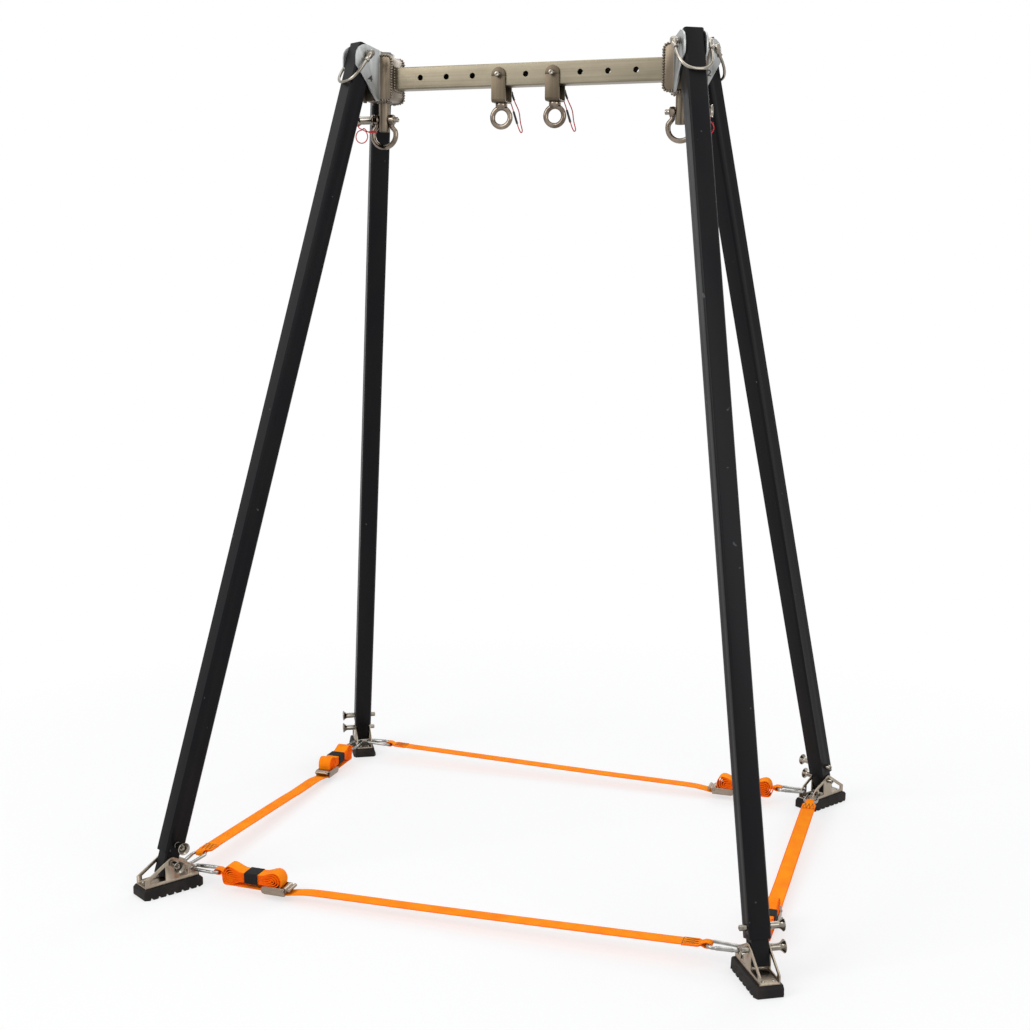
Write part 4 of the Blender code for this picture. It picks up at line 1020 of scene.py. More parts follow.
@dataclass
class LockPin:
    """A ball lock pin with a trumpet handle."""

    half_grip: float
    nose: float
    shank: float = 0.012
    barrel: float = 0.0145
    handle: float = 0.0335
    mouth: float = 0.028
    collar: float = 0.0
    collar_thick: float = 0.0
    ball: float = 0.0019

    def profile(self) -> list[Point]:
        """The (radius, along) outline from the nose to the button."""
        end, neck, r = -self.half_grip - self.nose, self.half_grip + PLAY, self.shank / 2
        outline = [
            *beside(0.0, end, (0.0006, 0.0024), (0.0020, 0.0024), (0.0022, 0.0002), (0.0026, 0)),
            *beside(r, end, (-0.0019, 0), (-0.0006, 0.0006), (0, 0.0018)), (r, neck),
        ]
        if self.collar:
            rim, top = self.collar / 2, neck + self.collar_thick
            outline += beside(rim, neck, (-0.0005, 0), (0, 0.0005))
            outline += beside(rim, top, (0, -0.0005), (-0.0005, 0))
            neck = top
        barrel, wide, far = self.barrel / 2, self.mouth / 2, neck + self.handle
        outline += beside(
            barrel, neck, (-0.0006, 0), (0, 0.0006), (0, 0.0030),
            (-0.0006, 0.0036), (-0.0006, 0.0046), (0, 0.0052),
        )
        flare = far - 0.0125
        for share in (step / 8 for step in range(9)):
            swell = barrel + (wide - barrel) * share**1.8
            outline.append((swell, flare + (far - 0.0018 - flare) * share))
        outline += beside(
            wide, far, (0, -0.0010), (-0.0004, -0.0002), (-0.0012, 0), (-0.0024, -0.0012)
        )
        return outline + beside(
            0.0, far, (0.0062, -0.0100), (0.0036, -0.0102), (0.0035, -0.0046),
            (0.0030, -0.0040), (0.0006, -0.0040),
        )

    def form(self, axis: Axis) -> Form:
        """The pin with its two locking balls."""
        made = lathe(self.profile(), axis)
        centre = -self.half_grip - self.nose + 0.0052
        for side in (-1, 1):
            spot = axis.at(side * (self.shank / 2 - 0.0007), 0.0, centre)
            made.add(dome(self.ball, -90, 8, 14), move(*spot))
        return made


@dataclass
class BailPin:
    """A leg's pivot pin with a wire bail that hangs on the leg's outer face."""

    corner: Corner
    shank: float = 0.014
    past_plate: float = 0.020
    wire: float = 0.0068
    half: float = 0.040
    long: float = 0.080
    sleeve: float = 0.022
    sleeve_wide: float = 0.0142
    bend: float = 2.5

    def frame(self) -> Matrix:
        """The bail's frame at rest."""
        share = (TUBE_HALF / self.half) ** self.bend
        reach = self.sleeve + (self.long - self.sleeve) * (1 - share) ** (1 / self.bend)
        angle = math.asin(((2 * TUBE_HALF + self.wire) / 2 + PLAY) / reach)
        return self.corner.leg() @ spin(-angle, "Y")

    def form(self) -> Form:
        """The shank, its knobs, the two crimped sleeves and the bow."""
        reach, r, groove = STAR_BACK + self.past_plate, self.shank / 2, STAR_BACK + 0.0018
        head = [(0.001, -reach)]
        head += beside(r, -reach, (-0.0022, 0), (-0.0006, 0.0008), (0, 0.0024))
        cut = [(r, -0.0012), (r - 0.0009, -0.0007), (r - 0.0009, 0.0007), (r, 0.0012)]
        grooves = [(a, side * groove + b) for side in (-1, 1) for a, b in cut]
        made = lathe([*head, *grooves, *mirrored(head)], Axis.Y)
        wide, low = self.sleeve_wide / 2, -self.sleeve
        crimp = beside(
            wide, low, (-0.0022, 0), (-0.0008, 0.0006), (-0.0004, 0.0020),
            (-0.0016, 0.0060), (-0.0016, 0.0090), (0, 0.0125),
        )
        crimp += beside(wide, 0.0, (0, 0.0050), (-0.0008, 0.0062), (-0.0025, 0.0065))
        for side in (-1, 1):
            made.add(lathe(crimp, Axis.Z, 28), move(y=side * self.half))
        bow = []
        for angle in (math.pi * step / 48 for step in range(49)):
            across = math.copysign(abs(math.cos(angle)) ** (2 / self.bend), math.cos(angle))
            down = abs(math.sin(angle)) ** (2 / self.bend)
            bow.append((0.0, self.half * across, low - (self.long - self.sleeve) * down))
        start, end = [(0.0, side * self.half, low / 2) for side in (1, -1)]
        return made.add(sweep([start, *bow, end], self.wire / 2))


# Sub-assemblies


def end_frame(side: int, out: float, down: float) -> Matrix:
    """A frame beyond and below the bar's end on the -X or +X side, with x away from the bar."""
    turn = spin(math.pi if side < 0 else 0.0)
    return move(side * (BAR_HALF + out), 0.0, PIVOT_HEIGHT - down) @ turn


@dataclass
class Head:
    """One head with its weld beads."""

    name: str
    side: int
    front_deep: float = 0.0436
    front_half: float = 0.0375
    down: float = 0.099
    up: float = 0.001
    corner: float = 0.012
    bead: float = 0.0040
    socket_up: float = 0.0255
    socket_half: float = 0.0205
    stem: float = 0.0137
    sunk: float = 0.0006

    def frame(self) -> Matrix:
        """The head's frame, with z=0 at the pivots."""
        return end_frame(self.side, 0.0, 0.0)

    def bead_paths(self) -> list[list[Vector]]:
        """Round the block's two side faces, round the bar's end and round the stem."""
        c, y, half = self.corner, self.front_half - 0.0004, self.socket_half
        outline = [
            (self.front_deep, self.up), *arc((c, self.up - c), c, 90, 180, 8),
            *arc((c, c - self.down), c, 180, 270, 8), (self.front_deep, -self.down),
        ]
        paths = [[(x, side * y, z) for x, z in outline] for side in (-1, 1)]
        low, high = -BAR_DOWN - self.socket_up, -BAR_DOWN + self.socket_up
        seam = ((-half, low), (half, low), (half, high), (-half, high), (-half, low))
        paths.append([(-self.sunk, y, z) for y, z in seam])
        stem = arc((STEM_OUT, 0.0), self.stem, 0, 360, 32)
        paths.append([(x, y, -self.down - self.sunk) for x, y in stem])
        return [[self.frame() @ Vector(point) for point in path] for path in paths]

    def build(self, shop: Workshop) -> None:
        """Make the head's pieces."""
        node = f"{self.name}_head"
        shop.piece(f"{node}_plates", softened(node, 0.0009), Look.HEAD, "top", node)
        ripple = Repeat("weld_ripple", 0.0056, (0.0029, self.bead, self.bead * 0.85), 0.10)
        beads = ripple.mesh(self.bead_paths(), shop.paint[Look.WELD])
        shop.piece(f"{node}_welds", beads, Look.WELD, "top")


@dataclass
class Number:
    """A plain number etched on a head plate."""

    text: str
    corner: Corner
    side: int
    across: float = -0.0060
    up: float = -0.0600
    tall: float = 0.0190
    stretch: float = 1.45
    bold: float = 0.0003
    thick: float = 0.0001

    def build(self, shop: Workshop) -> None:
        """Make the number as a thin mesh on the plate."""
        curve = bpy.data.curves.new(f"number_{self.text}", "FONT")
        curve.body = self.text
        curve.size = self.tall
        curve.extrude = self.thick
        curve.offset = self.bold
        curve.align_x = "CENTER"
        mesh = flattened(linked(curve.name, curve))
        spot = move(self.across, self.side * (STAR_BACK + 0.00012), self.up)
        facing = spin(math.pi if self.side > 0 else 0.0) @ spin(math.pi / 2, "X")
        wider = Matrix.Diagonal((self.stretch, 1.0, 1.0, 1.0))
        mesh.transform(self.corner.pivot() @ spot @ facing @ wider)
        shop.piece(f"{self.corner.key}_number", mesh, Look.PAINT, "top")


@dataclass
class Crossbar:
    """The drilled crossbar."""

    tall: float = 0.050
    deep: float = 0.040
    wall: float = 0.003
    corner: float = 0.0035
    hole: float = 0.013

    def build(self, shop: Workshop) -> None:
        """Make the bar by cutting a rounded tube."""
        place, long = move(z=BAR_HEIGHT), BAR_HALF - PLAY
        x, z = self.deep / 2, self.tall / 2
        skin = rounded_box(x, -z, z, self.corner)
        tube = Form().add(plate(skin, -long, long, Axis.X), place)
        x, z, past = x - self.wall, z - self.wall, long + 0.01
        hollow = plate([(x, z), (-x, z), (-x, -z), (x, -z)], -past, past, Axis.X)
        cutters = Form().add(hollow, place)
        drill = rod(self.hole / 2, self.deep, Axis.Y)
        for step in range(-4, 5):
            cutters.add(drill, place @ move(step * HOLE_PITCH))
        shop.piece("drilled_bar", carved(tube, cutters), Look.BAR, "top", "crossbar")


@dataclass
class Hanger:
    """A folded bracket with an eye nut, its lock pin and its lanyard."""

    name: str
    hole: int
    wide: float = 0.0334
    face: float = 0.021
    sheet: float = 0.003
    fold: float = 0.006
    down: float = 0.060
    eye_below: float = 0.0915
    eye_wide: float = 0.054
    stock: float = 0.012
    bolt: float = 0.0105
    bolt_tall: float = 0.0078
    eyelet: Point = (0.0105, -0.048)
    cord: float = 0.0025
    sleeve: float = 0.0026
    sleeves: tuple[tuple[int, int], ...] = ((14, 24), (67, 77))
    edge: float = 0.0006

    def frame(self) -> Matrix:
        """The frame at the hanger's pin."""
        return move(self.hole * HOLE_PITCH, 0.0, BAR_HEIGHT)

    def bracket(self) -> Form:
        """The folded strip: up the front, round under the bar and up the back."""
        half, back, r = self.wide / 2, self.face + self.sheet, self.fold
        middle, bottom = self.face + self.sheet / 2, -self.down + self.sheet / 2
        path = [(-middle, 0.0), *arc((-middle + r, bottom + r), r, 180, 270, 6)]
        path += [*arc((middle - r, bottom + r), r, 270, 360, 6), (middle, 0.0)]
        outer, inner = [], []
        for index, (y, z) in enumerate(path):
            before, after = path[max(index - 1, 0)], path[min(index + 1, len(path) - 1)]
            run = Vector((after[0] - before[0], after[1] - before[1])).normalized()
            normal = Vector((run.y, -run.x)) * self.sheet / 2
            outer.append((y + normal.x, z + normal.y))
            inner.append((y - normal.x, z - normal.y))
        form = plate(outer + inner[::-1], -half, half, Axis.X, self.edge)
        tip = [*arc(CENTRE, half, 0, 180, 20), (-half, -0.004), (half, -0.004)]
        for low, high in ((-back, -self.face), (self.face, back)):
            form.add(plate(tip, low, high, Axis.Y, self.edge))
        return form

    def eye_nut(self) -> Form:
        """The collar with its shoulder, the ring and the bolt inside the bracket."""
        top, floor = -self.down, self.sheet - self.down
        form = lathe(beside(
            0.0, top, (0.0092, -0.0145), (0.0110, -0.0115), (0.0128, -0.0088),
            (0.0135, -0.0076), (0.0135, -0.0010), (0.0128, 0.0002),
        ), Axis.Z)
        eye = circle((self.eye_wide - self.stock) / 2, 56, (0.0, -self.eye_below), 90)
        form.add(sweep([(x, 0.0, z) for x, z in eye], self.stock / 2, True, 20))
        return form.add(plate(circle(self.bolt, 6), floor, floor + self.bolt_tall, Axis.Z, 0.0007))

    def route(self) -> list[Vector]:
        """The lanyard's line from the pin's handle down in a loop to the eyelet."""
        chosen = [
            (0.0040, 0.0240, -0.0050), (0.0075, 0.0230, -0.0200), (0.0105, 0.0200, -0.0340),
            (0.0180, 0.0165, -0.0520), (0.0300, 0.0125, -0.0760), (0.0345, 0.0105, -0.1000),
            (0.0395, 0.0090, -0.1180), (0.0365, 0.0080, -0.1225), (0.0310, 0.0070, -0.1120),
            (0.0225, 0.0060, -0.0860), (0.0165, 0.0050, -0.0670),
            (self.eyelet[0], self.cord, self.eyelet[1] - self.cord / 2),
        ]
        back, place = self.face + self.sheet, self.frame()
        return [place @ p for p in smooth_path([(x, back + y, z) for x, y, z in chosen], 8)]

    def build(self, shop: Workshop) -> None:
        """Make the hanger's pieces."""
        node, place = f"{self.name}_hanger", self.frame()
        shop.piece(f"{node}_strap", self.bracket(), Look.HANGER, node, node, place=place)
        shop.piece(f"{node}_eye_nut", self.eye_nut(), Look.SHACKLE, node, place=place)
        pin = LockPin(self.face + self.sheet, 0.011).form(Axis.Y)
        shop.piece(f"{node}_lock_pin", pin, Look.PIN, node, f"{node}_pin", place=place)
        path, sleeves = self.route(), Form()
        for low, high in self.sleeves:
            sleeves.add(sweep(path[low:high], self.sleeve, sides=16))
        trim = shop.piece(f"{node}_sleeves", sleeves, Look.SLEEVE, node)
        shop.lanyard(f"{node}_lanyard", path, self.cord, node, f"{node}_pin")


@dataclass
class Shackle:
    """A bow shackle under a head, with its lock pin and lanyard."""

    name: str
    side: int
    stock: float = 0.012
    wide: float = 0.069
    long: float = 0.068
    ear: float = 0.024
    near: float = 0.0130
    far: float = 0.0250
    neck: float = 0.0155
    tip: float = 0.006
    cord: float = 0.0025
    ring: float = 0.0155
    knot: float = 0.0012

    def frame(self) -> Matrix:
        """The frame at the shackle's pin: x out along the pin."""
        return end_frame(self.side, STEM_OUT, SHACKLE_DOWN)

    def bow(self) -> Form:
        """The bow and its two drilled ears."""
        half, middle = (self.wide - self.stock) / 2, (self.near + self.far) / 2
        bend = arc((0.0, half + self.stock / 2 - self.long), half, 16, -196, 44)
        curve = [(x, 0.0, z) for x, z in ((middle, -self.neck), *bend, (-middle, -self.neck))]
        start, end = [Vector((side * middle, 0.0, -self.tip)) for side in (1, -1)]
        form = sweep([start, *smooth_path(curve, 2), end], self.stock / 2, sides=20)
        r = self.ear / 2
        for low, high in ((-self.far, -self.near), (self.near, self.far)):
            form.add(lathe([
                (self.tip, low), (r - 0.0016, low), (r, low + 0.0018),
                (r, high - 0.0018), (r - 0.0016, high), (self.tip, high),
            ], Axis.X))
        return form

    def route(self) -> list[Vector]:
        """The lanyard's line: out of the handle, once round in a ring, and to the bow."""
        out, low, aside, sag = 0.058, -0.036, 2 * self.cord, 0.014
        rim, bow = self.far + 0.038, self.wide / 2
        spots = [(rim, aside, 2 * self.cord - sag), (rim, aside, -self.cord - sag)]
        for share in (step / 8 for step in range(9)):
            angle = math.radians(100 + 350 * share)
            x, z = out + self.ring * math.cos(angle), low + self.ring * math.sin(angle)
            spots.append((x, aside * (0.5 - share), z))
        spots += [
            (out - self.cord, -1.6 * aside, self.ring / 2 + low + 0.011),
            (bow + 5 * self.cord, -aside, -self.ear),
            (bow + 2 * self.cord, 0.0, -1.1 * self.ear),
        ]
        place = self.frame()
        return [place @ point for point in smooth_path(spots, 6)]

    def tie(self) -> Form:
        """The lanyard's knot: two turns round the bow and a short whipping."""
        x, z, r = (self.wide - self.stock) / 2, -1.1 * self.ear, self.cord / 2
        knot, place = Form(), self.frame()
        for lift in (-self.knot, self.knot):
            loop = circle(self.stock / 2 + r, 36, (x, 0.0))
            knot.add(sweep([place @ Vector((a, b, z + lift)) for a, b in loop], r, True, 12))
        twist = [(self.wide / 2 + 0.0018 + self.knot * step, 0.0, z) for step in range(4)]
        return knot.add(sweep([place @ Vector(p) for p in twist], 0.0022, sides=12))

    def build(self, shop: Workshop) -> None:
        """Make the shackle's pieces."""
        body, node, place = f"{self.name}_shackle", f"{self.name}_shackle_pin", self.frame()
        shop.piece(f"{body}_bow", self.bow(), Look.SHACKLE, body, body, place=place)
        pin = LockPin(
            self.far, 0.011, barrel=0.0187, handle=0.040, collar=0.026, collar_thick=0.004
        ).form(Axis.X)
        shop.piece(f"{body}_lock_pin", pin, Look.PIN, body, node, place=place)
        knot = shop.piece(f"{self.name}_lanyard_knot", self.tie(), Look.CORD, body)
        shop.lanyard(f"{body}_lanyard", self.route(), self.cord, body, node)


@dataclass
class Bracket:
    """The folded foot bracket, about the foot pin: two cheeks with windows on a base."""

    face: float = 0.0185
    sheet: float = 0.003
    half: float = 0.066
    nose: float = 0.013
    outer_edge: float = 0.018
    inner_edge: float = 0.012
    bend: Point = (-0.050, -0.014)
    outer_window: Point = (0.017, 0.054)
    inner_window: Point = (0.016, 0.0375)
    rim: float = 0.0092
    sill: float = 0.005
    pin: float = 0.0127
    hook: float = 0.012
    hook_at: Point = (-0.048, -0.026)

    def tangent(self, spot: Point) -> float:
        """Where a line from a spot on the +x side touches the nose, in degrees."""
        away = math.hypot(*spot)
        return math.degrees(math.atan2(spot[1], spot[0]) + math.acos(self.nose / away))

    def window(self, side: int, span: Point, edge: Point) -> list[Point]:
        """The outline of a window under the slope from the nose to an edge point."""
        low, angle = self.sill - BRACKET_BASE, math.radians(self.tangent((abs(edge[0]), edge[1])))
        top = (self.nose * math.cos(angle), self.nose * math.sin(angle))
        slope = (edge[1] - top[1]) / (abs(edge[0]) - top[0])
        roof = [(x, top[1] + slope * (x - top[0]) - self.rim) for x in reversed(span)]
        return [(side * x, z) for x, z in [(x, low) for x in span] + roof]

    def mesh(self) -> bpy.types.Mesh:
        """The bracket."""
        half, back, floor = self.half, self.face + self.sheet, -BRACKET_BASE - self.sheet
        outer = (half, floor + self.outer_edge)
        start, end = self.tangent(outer), 180 - self.tangent((-self.bend[0], self.bend[1]))
        outline = [(-half, floor), (half, floor), outer, *arc(CENTRE, self.nose, start, end, 12)]
        outline += [self.bend, (-half, floor + self.inner_edge)]
        block = plate(outline, -back, back, Axis.Y)
        hollow = [(side * self.face, -BRACKET_BASE) for side in (-1, 1)]
        hollow += [(side * self.face, 2 * self.nose) for side in (1, -1)]
        cutters = Form().add(plate(hollow, -2 * half, 2 * half, Axis.X))
        for window in (
            self.window(1, self.outer_window, outer), self.window(-1, self.inner_window, self.bend),
        ):
            cutters.add(plate(window, -2 * back, 2 * back, Axis.Y))
        for radius, (x, z) in ((self.pin / 2, CENTRE), (self.hook / 2, self.hook_at)):
            cutters.add(rod(radius, 2 * back, Axis.Y, 32), move(x, 0.0, z))
        return carved(block, cutters, 0.0005)


@dataclass
class Pad:
    """The rubber sole, with scalloped lugs underneath and a chamfered top."""

    long: float = 0.145
    wide: float = 0.064
    tall: float = 0.024
    chamfer: float = 0.006
    lugs: int = 8
    groove_wide: float = 0.005
    groove_deep: float = 0.0035
    groove_top: float = 0.0012
    scallop: float = 0.0026
    blunt: float = 0.005
    edge: float = 0.0016

    def form(self) -> Form:
        """The sole about the foot pin."""
        half, bottom, r = self.long / 2, -FOOT_PIN_HEIGHT, self.scallop
        top, roof = bottom + self.tall, bottom + self.groove_deep + 0.0020
        outline = [(half, top - self.chamfer), (half - self.chamfer, top)]
        outline += [(self.chamfer - half, top), (-half, top - self.chamfer)]
        pitch = (self.long + self.groove_wide) / self.lugs
        for lug in range(self.lugs):
            start = -half + lug * pitch
            end = start + pitch - self.groove_wide
            outline += arc((start + r, bottom + r), r, 180, 270, 4)
            outline += arc((end - r, bottom + r), r, 270, 360, 4)
            if lug < self.lugs - 1:
                middle = end + self.groove_wide / 2
                outline += [(middle + side * self.groove_top, roof) for side in (-1, 1)]
        made = plate(outline, -self.wide / 2, self.wide / 2, Axis.Y, self.edge)
        for vert in made.verts:
            share = min(max((vert.z - top + self.chamfer) / self.chamfer, 0.0), 1.0)
            if abs(vert.x) > half - self.groove_deep:
                share = max(share, self.blunt / self.chamfer)
            vert.y -= math.copysign(self.chamfer * share, vert.y)
        return made


@dataclass
class Leg:
    """A telescopic leg with its pivot pin, lock pin, foot pin and foot."""

    corner: Corner
    nose: float = 0.014
    rivet: float = 0.0034
    rivet_x: float = 0.056
    rivet_y: float = 0.011

    def build(self, shop: Workshop) -> None:
        """Make the leg's pieces."""
        key, place = self.corner.key, self.corner.foot()
        leg, inner, foot = f"{key}_leg", f"{key}_inner_leg", f"{key}_foot"
        shop.piece(f"{key}_outer_tube", softened(leg, 0.0012), Look.LEG, leg, leg)
        shop.piece(f"{key}_inner_tube", softened(inner, 0.0006), Look.INNER_LEG, inner, inner)
        bail = BailPin(self.corner)
        at_rest, lock_at = bail.frame(), self.corner.leg() @ move(z=LOCK_UP - PIVOT_TO_FOOT)
        for name, form, body, node, spot in (
            ("bail", bail.form(), f"{key}_bail", "bail_pin", at_rest),
            ("leg_lock", LockPin(TUBE_HALF, self.nose).form(Axis.Y), leg, "lock_pin", lock_at),
            ("foot_lock", LockPin(BRACKET_BACK, self.nose).form(Axis.Y), inner, "foot_pin",
             self.corner.slide()),
        ):
            shop.piece(f"{key}_{name}", form, Look.PIN, body, f"{key}_{node}", place=spot)
        shoe = Bracket().mesh()
        shoe.transform(place)
        shop.piece(f"{key}_shoe", shoe, Look.BRACKET, foot, f"{foot}_bracket")
        shop.piece(f"{key}_sole", Pad().form(), Look.PAD, foot, f"{foot}_pad", place=place)
        rivets, head = Form(), dome(self.rivet, 0, 6, 20)
        for x in (-self.rivet_x, self.rivet_x):
            for y in (-self.rivet_y, self.rivet_y):
                rivets.add(head, place @ move(x, y, -BRACKET_BASE))
        shop.piece(f"{key}_rivets", rivets, Look.BUTTON, foot)


@dataclass
class SnapHook:
    """A wire snap hook with a sprung gate."""

    small: float = 0.011
    large: float = 0.015
    centres: float = 0.046
    stock: float = 0.008

    def form(self) -> Form:
        """The bent wire, the gate's sleeve and its rivet."""
        wire, sleeve = self.stock / 2 - 0.0002, self.stock / 2 + 0.0004
        lean = math.degrees(math.acos((self.small - self.large) / self.centres))
        points = arc(CENTRE, self.small, lean, 360 - lean, 24)
        points += arc((self.centres, 0.0), self.large, -lean, lean, 24)
        form = sweep([(x, y, 0.0) for x, y in points], wire, True, 18)
        start = Vector((0.0, self.small, 0.0))
        run = Vector((self.centres, self.large, 0.0)) - start
        gate = [start + run * share for share in (0.10, 0.14, 0.50, 0.86, 0.90)]
        form.add(sweep(gate, [wire, sleeve, sleeve, sleeve, wire], sides=18))
        rivet = rod(0.0018, 0.0046, Axis.Z, 16, (0.0006, 0.0004))
        return form.add(rivet, move(*(start + run * 0.80)))


@dataclass
class Strap:
    """A webbing strap: two hooks, the wound hank, the cam buckle, the run and its sewn end."""

    side: Side
    wide: float = 0.035
    thick: float = 0.002
    loop_wide: float = 0.0186
    short_height: float = 0.0205
    low: float = 0.0235
    low_at: float = 0.290
    hank_middle: float = 0.1468
    hank_half: float = 0.0723
    turns: float = 4.5
    pitch: float = 0.00254
    end_pitch: float = 0.0038
    loop_points: int = 44
    waist: float = 0.0115
    span: float = 0.29
    flares: Rgb = (5.8, 4.8, 3.4)
    cam_at: float = 0.226
    run_at: float = 0.248
    reach: float = 0.061
    seat: float = 0.004
    sewn_long: float = 0.044
    overlap: float = 0.003
    band: float = 0.0165
    band_thick: float = 0.0012
    cam: float = 0.0073
    lever: float = 0.0130

    def hank_shape(self) -> list[Vector]:
        """The hank's strip in side view about its waist's middle height."""
        path, (near, above, below) = [], self.flares
        for step in range(round(self.turns * self.loop_points) + 1):
            left = self.turns - step / self.loop_points
            c, s = math.cos(-2 * math.pi * left), math.sin(-2 * math.pi * left)
            swell = max(abs(c) - self.span, 0.0) / (1 - self.span)
            flare = near if c < 0 else (above if s < 0 else below)
            half = self.hank_half - self.end_pitch * (1.0 if c < 0 else 1.5) * left
            tall = self.waist - self.pitch * left
            tall *= 1 + flare * swell * swell * (1 - 0.45 * swell * swell)
            path.append(Vector((self.hank_middle + half * c, -tall * s)))
        return path

    def hank(self) -> list[Vector]:
        """The hank's strip with its near lobe lying on the short web."""
        shape = self.hank_shape()
        lowest = min(p.y for p in shape if p.x < self.hank_middle)
        lift = Vector((0.0, self.short_height + self.thick - 0.0002 - lowest))
        return [p + lift for p in shape]

    def sewn_end(self) -> float:
        """Where the run is sewn into its loop."""
        return self.side.length() - self.reach - self.seat - self.thick

    def sewn_start(self) -> float:
        """Where the doubled, stitched webbing starts."""
        return self.sewn_end() - self.sewn_long

    def near_path(self) -> list[Vector]:
        """From the hank's core round its turns and down through the buckle."""
        hank, grip = self.hank(), BUCKLE_FLOOR + self.thick / 2
        x, z = hank[-1]
        drop = [
            hank[-1], (x - 0.0020, z - 0.0110),
            *beside(x, grip, (-0.0070, 0.0110), (-0.0082, 0.0050), (-0.0040, 0.0010)),
            *beside(self.cam_at, grip, (-0.0040, 0), (0.0090, 0)), (self.run_at, grip + 0.0025),
        ]
        return hank + smooth_path(drop, 8)[1:]

    def run_path(self) -> list[Vector]:
        """From the buckle along the ground to the sewn end."""
        length, end = self.side.length(), self.sewn_end()
        points = [
            (self.run_at, BUCKLE_FLOOR + self.thick / 2 + 0.0025), (self.low_at, self.low),
            (self.low_at + 0.1, self.low + 0.002),
            (length / 2, (self.low + HOOK_HEIGHT) / 2 - 0.004),
            (end - 0.1, HOOK_HEIGHT - 0.003), (end - 0.003, HOOK_HEIGHT),
        ]
        if points[3][0] < points[2][0] + 0.02:
            points.pop(3)
        return smooth_path(points, 40)

    def short_path(self) -> list[Vector]:
        """The short web from the near hook down to the buckle's bar."""
        base, low, top = self.reach + self.seat, self.short_height, HOOK_HEIGHT
        start = beside(
            base, top, (0.0015, 0), (0.0055, -0.0015), (0.0078, -0.0065), (0.0090, -0.0130),
            (0.0118, -0.0192),
        )
        flat = beside(base, low, (0.0160, 0.0008), (0.0200, 0), (0.0400, 0), (0.0700, -0.0005))
        return smooth_path([*start, *flat, (0.1742, low - 0.0010)], 6)

    def hook_loop(self) -> Form:
        """The sewn loop round a hook's large end, about the hook's small end."""
        inside, across, inner = 0.011, 0.0095, 0.0046  # of the hook's end, of the web, of the loop
        middle = inner + self.thick / 2
        left = 0.045 + math.sqrt(inside**2 - across**2) + inner
        tail = ((self.reach + 0.0125, 0.0012), (self.reach + 0.0075, 0.0030))
        tail = [*tail, (self.reach + 0.002, middle)]
        path = [(x, -z) for x, z in tail] + arc((left, 0.0), middle, 270, 90, 16) + tail[::-1]
        return webbing(smooth_path(path, 2), self.loop_wide, self.thick)

    def taper(self, full: float, least: float) -> Callable[[float], float]:
        """The width along a strip that narrows from its full width to its loop's."""
        def width(x: float) -> float:
            """The width at x."""
            share = min(max((x - full) / (least - full), 0.0), 1.0)
            return self.wide + (self.loop_wide - self.wide) * share * share * (3 - 2 * share)
        return width

    def far_taper(self) -> Callable[[float], float]:
        """The width along the sewn end, which narrows just short of its hook."""
        return self.taper(self.sewn_end() - 0.012, self.sewn_end())

    def run_height(self, x: float) -> float:
        """The run's height at an x near its sewn end."""
        path = self.run_path()
        for a, b in zip(path, path[1:]):
            if a.x <= x <= b.x:
                return a.y + (b.y - a.y) * (x - a.x) / (b.x - a.x)
        return path[-1].y

    def stitch_paths(self) -> list[list[Vector]]:
        """Zigzag stitch lines on both faces of the sewn stretch."""
        width, paths = self.far_taper(), []
        start, end = self.sewn_start() + 0.004, self.sewn_end() - 0.009
        zigzag = [((start, end)[step % 2], 0.26 * step - 0.78) for step in range(7)]
        for face in (-1, 1):
            lift = face * (self.thick * 1.05 + 0.0002)
            for line in (zigzag, [(start - 0.002, -0.9), (start - 0.002, 0.9)]):
                points = []
                for (x, share), (after, then) in zip(line, line[1:]):
                    for part in (step / 8 for step in range(8)):
                        at = x + (after - x) * part
                        y = (share + (then - share) * part) * width(at) / 2
                        points.append(Vector((at, y, self.run_height(at) + lift)))
                paths.append(points)
        return paths

    def build(self, shop: Workshop) -> None:
        """Make the strap's pieces."""
        key, ground = self.side.key, self.side.ground()
        near, far = f"{self.side.near.key}_foot", f"{self.side.far.key}_foot"
        for end, body, place in (("near", near, self.side.start()), ("far", far, self.side.end())):
            name, hook = f"{key}_{end}_snap_hook", SnapHook().form()
            shop.piece(name, hook, Look.HOOK, body, f"{key}_{end}_hook", place=place)
        self.build_hank(shop, near, ground)
        self.build_sewn_end(shop, far, ground)
        path, start, stop = self.run_path(), self.sewn_start(), self.sewn_start() + self.overlap
        run = webbing([p for p in path if p.x < stop], self.wide, self.thick)
        free = shop.piece(f"{key}_run", run, Look.WEB, near, place=ground)
        self.squash(free)
        # A tongue inside the run comes out as the legs are lengthened.
        out = 2 * LEG_TRAVEL * math.sin(TILT) * self.share() + 0.012
        hidden = [p for p in path if start - out < p.x < stop]
        tongue = webbing(hidden, self.wide - 0.0008, self.thick - 0.0006)
        self.squash(shop.piece(f"{key}_tongue", tongue, Look.WEB, far, place=ground))
        self.build_buckle(shop, near, ground @ move(self.cam_at, 0.0, CAM_HEIGHT))
        long, short = path_length(self.near_path() + path), path_length(self.short_path())
        log.info("%s strap: %.3f m in the long web, %.3f m in the short one", key, long, short)

    def build_hank(self, shop: Workshop, body: str, ground: Matrix) -> None:
        """The wound web, the short web with its two loops, and the tie band."""
        key, narrow = self.side.key, self.reach + self.seat
        wound = Form().add(webbing(self.near_path(), self.wide, self.thick), ground)
        short = webbing(self.short_path(), self.taper(narrow + 0.015, narrow), self.thick)
        wound.add(short, ground).add(self.hook_loop(), self.side.start())
        ring = [(0.179 + x, z) for x, z in arc((0.0, 0.020), 0.0038, 200, -160, 24)]
        wound.add(webbing(ring, self.wide, self.thick), ground)
        shop.piece(f"{key}_hank", wound, Look.WEB, body, f"{key}_strap")
        shop.piece(f"{key}_tie_band", self.tie_band(), Look.BAND, body, place=ground)

